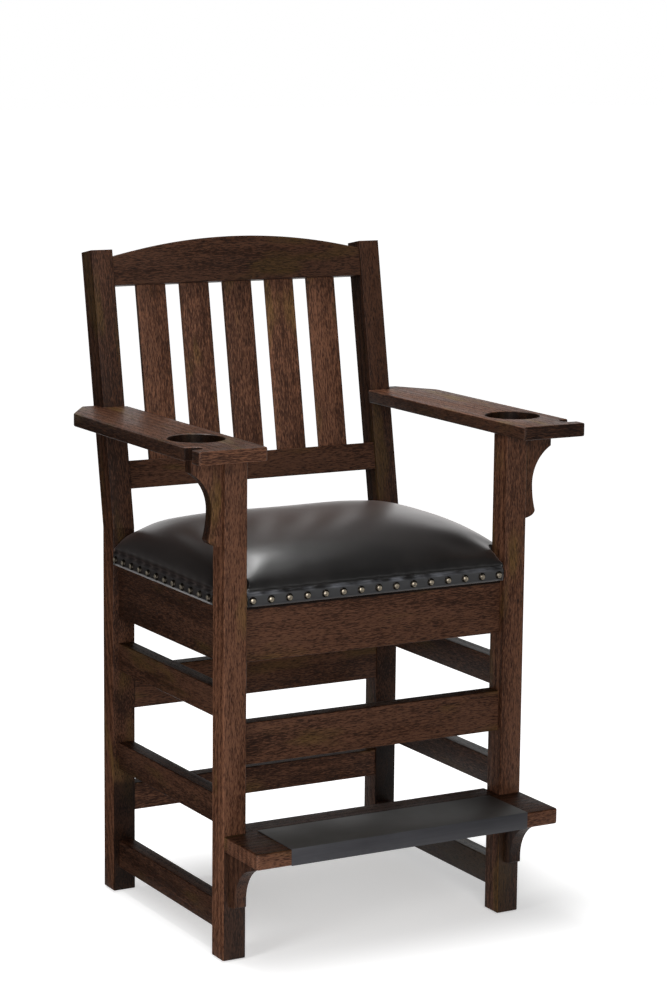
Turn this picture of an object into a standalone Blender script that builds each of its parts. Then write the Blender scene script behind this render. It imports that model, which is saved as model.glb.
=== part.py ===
"""Tall wooden spectator armchair with a leather seat, a hidden drawer and a footrest.

Metres, +Z up. The chair faces -Y and left means -X, as seen from the front. The origin is on the
floor, under the middle of the chair's overall box.
"""
import math

import bmesh
import bpy
from mathutils import Matrix, Vector

# Fits
FIT = 0.0003                    # gap between faces that touch or are glued
EASE = 0.0012                   # softened edge of the boards

# Legs and overall frame
FRAME_WIDTH = 0.612             # across the outer faces of the legs
FRAME_DEPTH = 0.491             # front of the front legs to the back of the rear legs
LEG = 0.044                     # square section of legs and posts
GLIDE_RADIUS = 0.012
GLIDE_HEIGHT = 0.003

# Rails between the legs
RAIL_THICKNESS = 0.022          # aprons run centred on the leg section
STRETCHER_THICKNESS = 0.030     # stretchers share the aprons' outer faces
SIDE_STRETCHER_HEIGHT = 0.052
SIDE_STRETCHER_LOW = 0.048      # underside of the lowest one
SIDE_STRETCHER_DROP = 0.049     # underside of the apron to the top of the uppermost one
SIDE_STRETCHER_NAMES = ("low", "middle", "upper")
FRONT_STRETCHER_HEIGHT = 0.0746
FRONT_STRETCHER_DROP = 0.1064   # underside of the aprons to its top
REAR_UPPER_HEIGHT = 0.076
REAR_UPPER_DROP = 0.101         # underside of the aprons to its top
REAR_LOWER_HEIGHT = 0.052
REAR_LOWER_LOW = 0.155
SEAT_BASE = 0.629               # top of the aprons, where the seat board rests
APRON_HEIGHT = 0.100
TENON_LENGTH = 0.015            # rails end in tenons in the legs
TENON_SHOULDER = 0.006          # shoulder all round a rail's tenon
BACK_TENON_SHOULDER = 0.009     # the same on the two thicker rails of the back

# Raked back
RAKE = math.radians(10.3)
BEND_HEIGHT = 0.6968            # height at which the front of a rear post leans back
RAKED_LENGTH = 0.5135           # front edge of a post from the bend to the top
BACK_RAIL_THICKNESS = 0.038
LOWER_RAIL_RISE = 0.0705        # bend to the underside of the lower back rail, along the rake
LOWER_RAIL_HEIGHT = 0.052
CREST_DROP = 0.013              # top of a post to the top of the crest rail's end, along the rake
CREST_END_HEIGHT = 0.0535
CREST_ARCH = 0.0309             # rise of the arched top over its ends
CREST_SEGMENTS = 28
SLAT_COUNT = 5
SLAT_WIDTH = 0.0595
SLAT_END_GAP = 0.05125          # post to the nearest slat
SLAT_THICKNESS = 0.010
SLAT_HOUSING = 0.008            # each end of a slat sits this deep in its rail

# Arms
ARM_TOP = 0.917
ARM_THICKNESS = 0.024
ARM_WIDTH = 0.130
ARM_INNER_LIP = 0.005           # arm reaches this far past the inner face of the legs
ARM_FRONT_OVERHANG = 0.064      # past the front face of the front legs
ARM_REAR_LAP = 0.030            # past the front face of the rear post, on its outer side
ARM_CLIP_ACROSS = 0.051         # long clipped corner at the rear of an arm
ARM_CLIP_ALONG = 0.076
ARM_CORNER_RADIUS = 0.006
CUP_DIAMETER = 0.100
CUP_DEPTH = 0.016
CUP_SETBACK = 0.140             # front end of the arm to the middle of the cup recess
CUP_SEGMENTS = 56
CUE_NOTCH_WIDTH = 0.028
CUE_NOTCH_DEPTH = 0.026
CUE_NOTCH_SETBACK = 0.042       # front end of the arm to the middle of the notch
CUE_NOTCH_LIP_RADIUS = 0.004

# Scrolled brackets: (height, out at the top, lip height, waist out, waist drop, toe out, toe drop)
CORBEL_HEIGHT = 0.155
CORBEL_LIP_OUT = 0.058
CORBEL_LIP_HEIGHT = 0.025
CORBEL_WAIST_OUT = 0.0193
CORBEL_WAIST_DROP = 0.092
CORBEL_TOE_OUT = 0.0262
CORBEL_TOE_DROP = 0.141
BRACKET_HEIGHT = 0.1005
BRACKET_LIP_OUT = 0.080
BRACKET_LIP_HEIGHT = 0.014
BRACKET_WAIST_OUT = 0.0225
BRACKET_WAIST_DROP = 0.086
BRACKET_TOE_OUT = 0.0227
BRACKET_TOE_DROP = 0.0955
BRACKET_LIP_EASE = 0.003        # the lip's lower corner is cut off this far up and down
BRACKET_ARC_SEGMENTS = 14

# Footrest
FOOTREST_TOP = 0.230
FOOTREST_THICKNESS = 0.0285
FOOTREST_FRONT = 0.1245         # front edge, out from the front face of the legs
FOOTREST_REAR_LAP = 0.008       # between the legs it reaches this far behind them
FOOTREST_CORNER_RADIUS = 0.006
PLATE_END_GAP = 0.066           # end of the board to the end of the plate
PLATE_THICKNESS = 0.0015
PLATE_REAR_GAP = 0.001          # rear edge of the plate to the front face of the legs

# Seat
BOARD_THICKNESS = 0.015
BOARD_COVER = 0.004             # leather and padding over the edge of the seat board
SEAT_GAP = 0.0005               # leather to the faces of the legs
BAND_HEIGHT = 0.022             # flat nailed band round the bottom of the leather
BAND_DRAW_IN = 0.0015           # the crease above the band pulls in by this much
CREASE_HEIGHT = 0.005
CROWN_RISE = 0.083              # crease to the top of the crown
CROWN_FULLNESS = 0.50           # lower is boxier
CROWN_POWER = 3.0               # higher is flatter on top
CUSHION_CELLS = 18              # across the whole pad, each way
CUSHION_CORNER_CELLS = 3        # across a notched corner

# Drawer
DRAWER_FACE_RECESS = 0.012      # face of the drawer behind the front of the legs
DRAWER_FRONT_THICKNESS = 0.018
DRAWER_FRONT_GAP = 0.0015       # round the drawer front
DRAWER_SIDE_GAP = 0.006         # drawer side to the inner face of the legs
DRAWER_WALL = 0.012
DRAWER_LENGTH = 0.418           # face to the back of the drawer
DRAWER_BOTTOM_THICKNESS = 0.006
DRAWER_BOTTOM_RISE = 0.008      # underside of the sides to the underside of the bottom
DRAWER_GROOVE = 0.005           # the bottom sits this deep in grooves on all four sides
RUNNER_RISE = 0.003             # underside of the apron to the underside of the runner
RUNNER_HEIGHT = 0.0125
RUNNER_LAP = 0.018              # runner and kicker reach this far under and over the drawer side
GUIDE_CLEARANCE = 0.0006
GUIDE_HEIGHT = 0.050
KICKER_HEIGHT = 0.014
KICKER_CLEARANCE = 0.0015

# Places that follow from the sizes above, in a frame centred between the four legs
HALF_WIDTH = FRAME_WIDTH / 2
HALF_DEPTH = FRAME_DEPTH / 2
INNER_HALF = HALF_WIDTH - LEG
RAIL_INSET = (LEG - RAIL_THICKNESS) / 2
FRONT_FACE = -HALF_DEPTH
FRONT_LEG_BACK = FRONT_FACE + LEG
REAR_FACE = HALF_DEPTH
REAR_LEG_FRONT = REAR_FACE - LEG
ARM_UNDERSIDE = ARM_TOP - ARM_THICKNESS
ARM_FRONT = FRONT_FACE - ARM_FRONT_OVERHANG
ARM_INNER = INNER_HALF - ARM_INNER_LIP
ARM_OUTER = ARM_INNER + ARM_WIDTH
ARM_REAR = REAR_LEG_FRONT + (ARM_TOP - BEND_HEIGHT) * math.tan(RAKE) + ARM_REAR_LAP
FOOTREST_UNDERSIDE = FOOTREST_TOP - FOOTREST_THICKNESS
APRON_LOW = SEAT_BASE - APRON_HEIGHT
CREST_RISE = RAKED_LENGTH - CREST_DROP - CREST_END_HEIGHT
POST_TOP_BACK = REAR_LEG_FRONT + RAKED_LENGTH * math.sin(RAKE) + LEG * math.cos(RAKE)
PLATE_FRONT = FRONT_FACE - FOOTREST_FRONT - FIT - PLATE_THICKNESS
FRAME_Y = -(PLATE_FRONT + POST_TOP_BACK) / 2
SIDES = (("left", -1), ("right", 1))

# Facing directions for a flat outline: across the chair, front to back, or lying flat
FACING_FRONT = (math.pi / 2, 0.0, 0.0)
FACING_SIDE = (math.pi / 2, 0.0, math.pi / 2)
FACING_FORWARD = (math.pi / 2, 0.0, -math.pi / 2)
LYING_FLAT = (0.0, 0.0, 0.0)


def clear_scene():
    """Remove what the file holds."""
    for item in list(bpy.data.objects):
        bpy.data.objects.remove(item, do_unlink=True)


def new_collection(name):
    """A collection linked to the scene."""
    group = bpy.data.collections.new(name)
    bpy.context.scene.collection.children.link(group)
    return group


def new_material(name, colour, roughness, metallic=0.0):
    """A plain Principled material."""
    material = bpy.data.materials.new(name)
    material.use_nodes = True
    shader = material.node_tree.nodes["Principled BSDF"]
    shader.inputs["Base Color"].default_value = (*colour, 1.0)
    shader.inputs["Roughness"].default_value = roughness
    shader.inputs["Metallic"].default_value = metallic
    material.diffuse_color = (*colour, 1.0)
    return material


def new_empty(name, parent=None, location=(0, 0, 0), rotation=(0, 0, 0)):
    """An empty that carries pieces."""
    empty = bpy.data.objects.new(name, None)
    chair.objects.link(empty)
    empty.parent = parent
    empty.location = location
    empty.rotation_euler = rotation
    return empty


def new_piece(name, mesh, parent, location=(0, 0, 0), rotation=(0, 0, 0), finish=None):
    """A named object of the chair with its own material."""
    piece = bpy.data.objects.new(name, mesh)
    chair.objects.link(piece)
    piece.parent = parent
    piece.location = location
    piece.rotation_euler = rotation
    if finish is not None:
        mesh.materials.append(finish)
    return piece


def ease_edges(piece, crisp_axis=None, crisp_reach=0.0):
    """Soften the outer edges of a board, but not the ends that meet another piece along one axis."""
    shape = bmesh.new()
    shape.from_mesh(piece.data)
    weight = shape.edges.layers.float.new("bevel_weight_edge")
    for edge in shape.edges:
        at_joint = False
        if crisp_axis is not None:
            at_joint = all(abs(abs(vert.co[crisp_axis]) - crisp_reach) < 1e-6 for vert in edge.verts)
        if edge.is_convex and edge.calc_face_angle() > math.radians(40) and not at_joint:
            edge[weight] = 1.0
    shape.to_mesh(piece.data)
    shape.free()
    bevel = piece.modifiers.new("eased_edges", "BEVEL")
    bevel.width = EASE
    bevel.segments = 1
    bevel.limit_method = "WEIGHT"


def add_tenons(mesh, axis, length, shoulder):
    """Draw a tenon out of each end of a rail."""
    shape = bmesh.new()
    shape.from_mesh(mesh)
    shape.faces.ensure_lookup_table()
    for face in [face for face in shape.faces if abs(face.normal[axis]) > 0.99]:
        out = face.normal * length
        bmesh.ops.inset_individual(shape, faces=[face], thickness=shoulder, use_even_offset=True)
        tip = bmesh.ops.extrude_discrete_faces(shape, faces=[face])["faces"][0]
        bmesh.ops.translate(shape, verts=tip.verts, vec=out)
    bmesh.ops.recalc_face_normals(shape, faces=shape.faces)
    shape.to_mesh(mesh)
    shape.free()


def box_mesh(name, size):
    """A box of this size about its own middle."""
    mesh = bpy.data.meshes.new(name)
    shape = bmesh.new()
    bmesh.ops.create_cube(shape, size=1.0)
    bmesh.ops.scale(shape, vec=Vector(size), verts=shape.verts)
    shape.to_mesh(mesh)
    shape.free()
    return mesh


def board(name, low, high, parent, finish, joint_axis=None):
    """A straight board between two corners, with softened edges and crisp ends along the joint axis."""
    low, high = Vector(low), Vector(high)
    piece = new_piece(name, box_mesh(name, high - low), parent, (low + high) / 2, finish=finish)
    reach = 0.0 if joint_axis is None else (high - low)[joint_axis] / 2
    ease_edges(piece, joint_axis, reach)
    return piece


def rail(name, low, high, parent, axis, hosts, shoulder=TENON_SHOULDER):
    """A board between two posts, with a tenon at each end and a mortise for it in each post."""
    low, high = Vector(low), Vector(high)
    mesh = box_mesh(name, high - low)
    add_tenons(mesh, axis, TENON_LENGTH, shoulder)
    piece = new_piece(name, mesh, parent, (low + high) / 2, finish=stained_wood)
    ease_edges(piece, axis, (high - low)[axis] / 2)
    mortise(name, low, high, parent, axis, hosts, shoulder)
    return piece


def mortise(name, low, high, parent, axis, hosts, shoulder):
    """Cut the room for both tenons of a rail out of its posts."""
    size = high - low
    for step in range(3):
        if step != axis:
            size[step] -= 2 * (shoulder - FIT)
    size[axis] = 2 * (TENON_LENGTH + FIT)
    for sign, host in zip((-1, 1), hosts):
        place = (low + high) / 2
        place[axis] = high[axis] if sign > 0 else low[axis]
        room = new_piece("mortise_%s_%s" % (name, host), box_mesh("mortise", size), parent, place)
        cut(bpy.data.objects[host], make_cutter(room))


def make_cutter(piece):
    """Turn an object into a hidden cutting tool."""
    chair.objects.unlink(piece)
    cutters.objects.link(piece)
    piece.hide_render = True
    piece.display_type = "WIRE"
    return piece


def cut(piece, tool):
    """Take one shape out of another."""
    boolean = piece.modifiers.new("cut_" + tool.name, "BOOLEAN")
    boolean.operation = "DIFFERENCE"
    boolean.object = tool


def rounded_outline(corners, segments=6):
    """Points of a closed outline whose corners (x, y, radius) are rounded."""
    points = []
    count = len(corners)
    for index in range(count):
        before = Vector(corners[index - 1][:2])
        corner = Vector(corners[index][:2])
        after = Vector(corners[(index + 1) % count][:2])
        radius = corners[index][2]
        if radius <= 0:
            points.append(corner)
            continue
        back = (before - corner).normalized()
        ahead = (after - corner).normalized()
        half_angle = math.acos(max(-1.0, min(1.0, back.dot(ahead)))) / 2
        reach = radius / math.tan(half_angle)
        centre = corner + (back + ahead).normalized() * radius / math.sin(half_angle)
        start = corner + back * reach - centre
        end = corner + ahead * reach - centre
        turn = math.atan2(start.x * end.y - start.y * end.x, start.dot(end))
        for step in range(segments + 1):
            points.append(centre + Matrix.Rotation(turn * step / segments, 2) @ start)
    return points


def outline_mesh(name, points, thickness):
    """A flat outline given a thickness, as one closed mesh about its own plane."""
    curve = bpy.data.curves.new(name + "_outline", "CURVE")
    curve.dimensions = "2D"
    curve.fill_mode = "BOTH"
    curve.extrude = thickness / 2
    spline = curve.splines.new("POLY")
    spline.points.add(len(points) - 1)
    for point, place in zip(spline.points, points):
        point.co = (place[0], place[1], 0.0, 1.0)
    spline.use_cyclic_u = True
    holder = bpy.data.objects.new(name + "_outline", curve)
    bpy.context.scene.collection.objects.link(holder)
    bpy.context.view_layer.update()
    seen = holder.evaluated_get(bpy.context.evaluated_depsgraph_get())
    mesh = bpy.data.meshes.new_from_object(seen)
    mesh.name = name
    bpy.data.objects.remove(holder, do_unlink=True)
    shape = bmesh.new()
    shape.from_mesh(mesh)
    bmesh.ops.remove_doubles(shape, verts=shape.verts, dist=1e-6)
    bmesh.ops.dissolve_limit(shape, angle_limit=math.radians(0.5), verts=shape.verts, edges=shape.edges)
    bmesh.ops.recalc_face_normals(shape, faces=shape.faces)
    shape.to_mesh(mesh)
    shape.free()
    mesh.materials.clear()
    return mesh


def outline_board(name, points, thickness, parent, finish, place=(0, 0, 0), facing=LYING_FLAT, tenons=False):
    """A board sawn to an outline, with softened edges."""
    mesh = outline_mesh(name, points, thickness)
    if tenons:
        add_tenons(mesh, 0, TENON_LENGTH, BACK_TENON_SHOULDER)
    piece = new_piece(name, mesh, parent, place, facing, finish)
    ease_edges(piece)
    return piece


def make_legs():
    """Front legs, sawn rear posts and the glides under all four."""
    tilt = math.tan(RAKE / 2)
    top_front = Vector((REAR_LEG_FRONT, BEND_HEIGHT)) + RAKED_LENGTH * Vector((math.sin(RAKE), math.cos(RAKE)))
    top_back = top_front + LEG * Vector((math.cos(RAKE), -math.sin(RAKE)))
    side_view = [
        (REAR_LEG_FRONT, GLIDE_HEIGHT),
        (REAR_FACE, GLIDE_HEIGHT),
        (REAR_FACE, BEND_HEIGHT - LEG * tilt),
        top_back,
        top_front,
        (REAR_LEG_FRONT, BEND_HEIGHT),
    ]
    for side, sign in SIDES:
        middle = sign * (HALF_WIDTH - LEG / 2)
        board("front_leg_" + side, (middle - LEG / 2, FRONT_FACE, GLIDE_HEIGHT),
              (middle + LEG / 2, FRONT_LEG_BACK, ARM_UNDERSIDE - FIT), frame, stained_wood)
        outline_board("rear_post_" + side, side_view, LEG, frame, stained_wood, (middle, 0, 0), FACING_SIDE)
        for end, y in (("front", FRONT_FACE + LEG / 2), ("rear", REAR_FACE - LEG / 2)):
            add_glide("foot_glide_%s_%s" % (end, side), middle, y)


def add_glide(name, x, y):
    """A round nylon glide under one leg."""
    mesh = bpy.data.meshes.new(name)
    shape = bmesh.new()
    height = GLIDE_HEIGHT - FIT
    bmesh.ops.create_cone(shape, cap_ends=True, segments=24, radius1=GLIDE_RADIUS, radius2=GLIDE_RADIUS,
                          depth=height)
    shape.to_mesh(mesh)
    shape.free()
    new_piece(name, mesh, frame, (x, y, height / 2), finish=nylon)


def make_rails():
    """Aprons and stretchers, set back alike from the outer faces of the legs and tenoned into them."""
    y_front = FRONT_LEG_BACK + FIT
    y_rear = REAR_LEG_FRONT - FIT
    across = INNER_HALF - FIT
    lowest = SIDE_STRETCHER_LOW
    uppermost = APRON_LOW - SIDE_STRETCHER_DROP - SIDE_STRETCHER_HEIGHT
    for side, sign in SIDES:
        outer = sign * (HALF_WIDTH - RAIL_INSET)
        inner = sign * (HALF_WIDTH - RAIL_INSET - RAIL_THICKNESS)
        low_x, high_x = min(outer, inner), max(outer, inner)
        far = sign * (HALF_WIDTH - RAIL_INSET - STRETCHER_THICKNESS)
        step_low, step_high = min(outer, far), max(outer, far)
        hosts = ("front_leg_" + side, "rear_post_" + side)
        rail("side_apron_" + side, (low_x, y_front, APRON_LOW), (high_x, y_rear, SEAT_BASE - FIT), frame, 1, hosts)
        for step, level in enumerate(SIDE_STRETCHER_NAMES):
            low = lowest + (uppermost - lowest) * step / (len(SIDE_STRETCHER_NAMES) - 1)
            rail("side_stretcher_%s_%s" % (level, side), (step_low, y_front, low),
                 (step_high, y_rear, low + SIDE_STRETCHER_HEIGHT), frame, 1, hosts)
    rear_high = REAR_FACE - RAIL_INSET
    rear_low = rear_high - STRETCHER_THICKNESS
    front_low = FRONT_FACE + RAIL_INSET
    front_high = front_low + STRETCHER_THICKNESS
    posts = ("rear_post_left", "rear_post_right")
    rail("rear_apron", (-across, rear_high - RAIL_THICKNESS, APRON_LOW), (across, rear_high, SEAT_BASE - FIT),
         frame, 0, posts)
    rear_top = APRON_LOW - REAR_UPPER_DROP
    rail("rear_upper_stretcher", (-across, rear_low, rear_top - REAR_UPPER_HEIGHT), (across, rear_high, rear_top),
         frame, 0, posts)
    rail("rear_lower_stretcher", (-across, rear_low, REAR_LOWER_LOW),
         (across, rear_high, REAR_LOWER_LOW + REAR_LOWER_HEIGHT), frame, 0, posts)
    front_top = APRON_LOW - FRONT_STRETCHER_DROP
    rail("front_stretcher", (-across, front_low, front_top - FRONT_STRETCHER_HEIGHT), (across, front_high, front_top),
         frame, 0, ("front_leg_left", "front_leg_right"))


def make_back():
    """Arched crest rail, lower rail and slats, in the leaning frame of the posts."""
    across = INNER_HALF - FIT
    rail_front = (LEG - BACK_RAIL_THICKNESS) / 2
    posts = ("rear_post_left", "rear_post_right")
    lower = rail("lower_back_rail", (-across, rail_front, LOWER_RAIL_RISE),
                 (across, rail_front + BACK_RAIL_THICKNESS, LOWER_RAIL_RISE + LOWER_RAIL_HEIGHT), back, 0, posts,
                 BACK_TENON_SHOULDER)
    arch_radius = (across ** 2 + CREST_ARCH ** 2) / (2 * CREST_ARCH)
    end_top = CREST_RISE + CREST_END_HEIGHT
    points = [(-across, CREST_RISE), (across, CREST_RISE)]
    for step in range(CREST_SEGMENTS + 1):
        x = across * (1 - 2 * step / CREST_SEGMENTS)
        sag = arch_radius - math.sqrt(arch_radius ** 2 - x ** 2)
        points.append((x, end_top + CREST_ARCH - sag))
    crest = outline_board("crest_rail", points, BACK_RAIL_THICKNESS, back, stained_wood, (0, LEG / 2, 0),
                          FACING_FRONT, tenons=True)
    mortise("crest_rail", Vector((-across, rail_front, CREST_RISE)),
            Vector((across, rail_front + BACK_RAIL_THICKNESS, end_top)), back, 0, posts, BACK_TENON_SHOULDER)
    slat_low = LOWER_RAIL_RISE + LOWER_RAIL_HEIGHT - SLAT_HOUSING + FIT
    slat_high = CREST_RISE + SLAT_HOUSING - FIT
    first = -(INNER_HALF - SLAT_END_GAP - SLAT_WIDTH / 2)
    for number in range(SLAT_COUNT):
        middle = first - 2 * first * number / (SLAT_COUNT - 1)
        low = Vector((middle - SLAT_WIDTH / 2, (LEG - SLAT_THICKNESS) / 2, slat_low))
        high = Vector((middle + SLAT_WIDTH / 2, (LEG + SLAT_THICKNESS) / 2, slat_high))
        board("back_slat_%d" % (number + 1), low, high, back, stained_wood, 2)
        grown = Vector((FIT, FIT, FIT))
        room = new_piece("slat_room_%d" % (number + 1), box_mesh("slat_room", high - low + 2 * grown), back,
                         (low + high) / 2)
        make_cutter(room)
        cut(lower, room)
        cut(crest, room)


def make_arms():
    """Broad arms with a cup recess, a cue notch and a clipped rear corner, wrapped round the posts."""
    notch_bottom = ARM_OUTER - CUE_NOTCH_DEPTH
    notch_middle = ARM_FRONT + CUE_NOTCH_SETBACK
    half_notch = CUE_NOTCH_WIDTH / 2
    corners = [
        (ARM_INNER, ARM_FRONT, ARM_CORNER_RADIUS),
        (ARM_OUTER, ARM_FRONT, ARM_CORNER_RADIUS),
        (ARM_OUTER, notch_middle - half_notch, CUE_NOTCH_LIP_RADIUS),
        (notch_bottom, notch_middle - half_notch, half_notch * 0.98),
        (notch_bottom, notch_middle + half_notch, half_notch * 0.98),
        (ARM_OUTER, notch_middle + half_notch, CUE_NOTCH_LIP_RADIUS),
        (ARM_OUTER, ARM_REAR - ARM_CLIP_ALONG, ARM_CORNER_RADIUS),
        (ARM_OUTER - ARM_CLIP_ACROSS, ARM_REAR, ARM_CORNER_RADIUS),
        (ARM_INNER, ARM_REAR, 0.0),
    ]
    cup_place = ((ARM_INNER + ARM_OUTER) / 2, ARM_FRONT + CUP_SETBACK)
    for side, sign in SIDES:
        points = [(sign * x, y) for x, y in rounded_outline(corners)]
        arm = outline_board("arm_" + side, points, ARM_THICKNESS, frame, stained_wood,
                            (0, 0, ARM_TOP - ARM_THICKNESS / 2))
        cut(arm, post_cutter(side, sign))
        cut(arm, cup_cutter(side, sign * cup_place[0], cup_place[1]))


def post_cutter(side, sign):
    """The leaning post with its gap, reaching in past the arm's inner edge."""
    size = Vector((LEG + 2 * ARM_INNER_LIP + 2 * FIT, 2 * LEG, RAKED_LENGTH))
    outer = HALF_WIDTH + FIT
    place = (sign * (outer - size.x / 2), LEG - FIT, RAKED_LENGTH / 2)
    return make_cutter(new_piece("post_room_" + side, box_mesh("post_room", size), back, place))


def cup_cutter(side, x, y):
    """A round cutter that leaves the floor of the cup recess."""
    mesh = bpy.data.meshes.new("cup_room")
    shape = bmesh.new()
    bmesh.ops.create_cone(shape, cap_ends=True, segments=CUP_SEGMENTS, radius1=CUP_DIAMETER / 2,
                          radius2=CUP_DIAMETER / 2, depth=2 * CUP_DEPTH)
    shape.to_mesh(mesh)
    shape.free()
    return make_cutter(new_piece("cup_room_" + side, mesh, frame, (x, y, ARM_TOP)))


def scroll_outline(height, lip_out, lip_height, waist_out, waist_drop, toe_out, toe_drop):
    """Side view of a scrolled bracket: x out from the leg, y down from the carried board."""
    rise = waist_drop - lip_height
    reach = lip_out - waist_out
    upper_radius = (rise ** 2 + reach ** 2) / (2 * reach)
    fall = toe_drop - waist_drop
    swell = toe_out - waist_out
    lower_radius = (fall ** 2 + swell ** 2) / (2 * swell)
    points = [(0.0, 0.0), (lip_out, 0.0), (lip_out, BRACKET_LIP_EASE - lip_height)]
    for step in range(BRACKET_ARC_SEGMENTS + 1):
        up = (rise - BRACKET_LIP_EASE) * math.cos(math.pi / 2 * step / BRACKET_ARC_SEGMENTS)
        points.append((waist_out + upper_radius - math.sqrt(upper_radius ** 2 - up ** 2), up - waist_drop))
    for step in range(1, BRACKET_ARC_SEGMENTS // 2 + 1):
        down = fall * step / (BRACKET_ARC_SEGMENTS // 2)
        points.append((waist_out + lower_radius - math.sqrt(lower_radius ** 2 - down ** 2), -waist_drop - down))
    toe_height = height - toe_drop
    toe_steps = BRACKET_ARC_SEGMENTS // 2
    for step in range(1, toe_steps + 1):
        turn = math.pi / 2 * step / toe_steps
        points.append((toe_out * math.cos(turn), -toe_drop - toe_height * math.sin(turn)))
    return points


def make_brackets():
    """Corbels beside the front legs under the arms, and brackets before them under the footrest."""
    corbel = scroll_outline(CORBEL_HEIGHT, CORBEL_LIP_OUT, CORBEL_LIP_HEIGHT, CORBEL_WAIST_OUT,
                            CORBEL_WAIST_DROP, CORBEL_TOE_OUT, CORBEL_TOE_DROP)
    bracket = scroll_outline(BRACKET_HEIGHT, BRACKET_LIP_OUT, BRACKET_LIP_HEIGHT, BRACKET_WAIST_OUT,
                             BRACKET_WAIST_DROP, BRACKET_TOE_OUT, BRACKET_TOE_DROP)
    for side, sign in SIDES:
        points = [(sign * x, y) for x, y in corbel]
        outline_board("arm_corbel_" + side, points, RAIL_THICKNESS, frame, stained_wood,
                      (sign * (HALF_WIDTH + FIT), FRONT_FACE + LEG / 2, ARM_UNDERSIDE - FIT), FACING_FRONT)
        outline_board("footrest_bracket_" + side, bracket, RAIL_THICKNESS, frame, stained_wood,
                      (sign * (HALF_WIDTH - LEG / 2), FRONT_FACE - FIT, FOOTREST_UNDERSIDE - FIT), FACING_FORWARD)


def make_footrest():
    """Footrest board notched round the front legs, and the kick plate over its top and front."""
    front = FRONT_FACE - FOOTREST_FRONT
    waist = INNER_HALF - FIT
    step_back = FRONT_FACE - FIT
    rear = FRONT_LEG_BACK + FOOTREST_REAR_LAP
    corners = [
        (-HALF_WIDTH, front, FOOTREST_CORNER_RADIUS),
        (HALF_WIDTH, front, FOOTREST_CORNER_RADIUS),
        (HALF_WIDTH, step_back, 0.0),
        (waist, step_back, 0.0),
        (waist, rear, 0.0),
        (-waist, rear, 0.0),
        (-waist, step_back, 0.0),
        (-HALF_WIDTH, step_back, 0.0),
    ]
    outline_board("footrest_board", rounded_outline(corners), FOOTREST_THICKNESS, frame, stained_wood,
                  (0, 0, FOOTREST_TOP - FOOTREST_THICKNESS / 2))
    top = FOOTREST_TOP + FIT
    lip = front - FIT
    angle = [
        (FRONT_FACE - PLATE_REAR_GAP, top),
        (FRONT_FACE - PLATE_REAR_GAP, top + PLATE_THICKNESS),
        (PLATE_FRONT, top + PLATE_THICKNESS),
        (PLATE_FRONT, FOOTREST_UNDERSIDE),
        (lip, FOOTREST_UNDERSIDE),
        (lip, top),
    ]
    new_piece("footrest_plate", outline_mesh("footrest_plate", angle, FRAME_WIDTH - 2 * PLATE_END_GAP), frame,
              (0, 0, 0), FACING_SIDE, charcoal_plate)


def make_seat():
    """Plywood seat board and the crowned leather cushion nailed over it, notched round the legs."""
    half_x = HALF_WIDTH - BOARD_COVER
    half_y = HALF_DEPTH - BOARD_COVER
    notch_x = INNER_HALF - SEAT_GAP - BOARD_COVER
    notch_y = REAR_LEG_FRONT - SEAT_GAP - BOARD_COVER
    plan = []
    for sign_x, sign_y in ((1, 1), (-1, 1), (-1, -1), (1, -1)):
        corner = [(half_x, notch_y), (notch_x, notch_y), (notch_x, half_y)]
        if sign_x * sign_y < 0:
            corner.reverse()
        plan.extend((sign_x * x, sign_y * y) for x, y in corner)
    middle = SEAT_BASE + BOARD_THICKNESS / 2
    new_piece("seat_board", outline_mesh("seat_board", plan, BOARD_THICKNESS), frame, (0, 0, middle), finish=plywood)
    new_piece("seat_cushion", cushion_mesh(), frame, (0, 0, SEAT_BASE), finish=leather)


def cushion_line(place, half, notch):
    """Where a line of the cushion's grid lies, with one line on the notch and closer lines near the edge."""
    inner_share = 1 - 2 * CUSHION_CORNER_CELLS / CUSHION_CELLS
    notch_turn = math.asin(notch / half) / (math.pi / 2)
    share = abs(place)
    if share <= inner_share:
        turn = share / inner_share * notch_turn
    else:
        turn = notch_turn + (share - inner_share) / (1 - inner_share) * (1 - notch_turn)
    return math.copysign(math.sin(turn * math.pi / 2), place)


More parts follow.
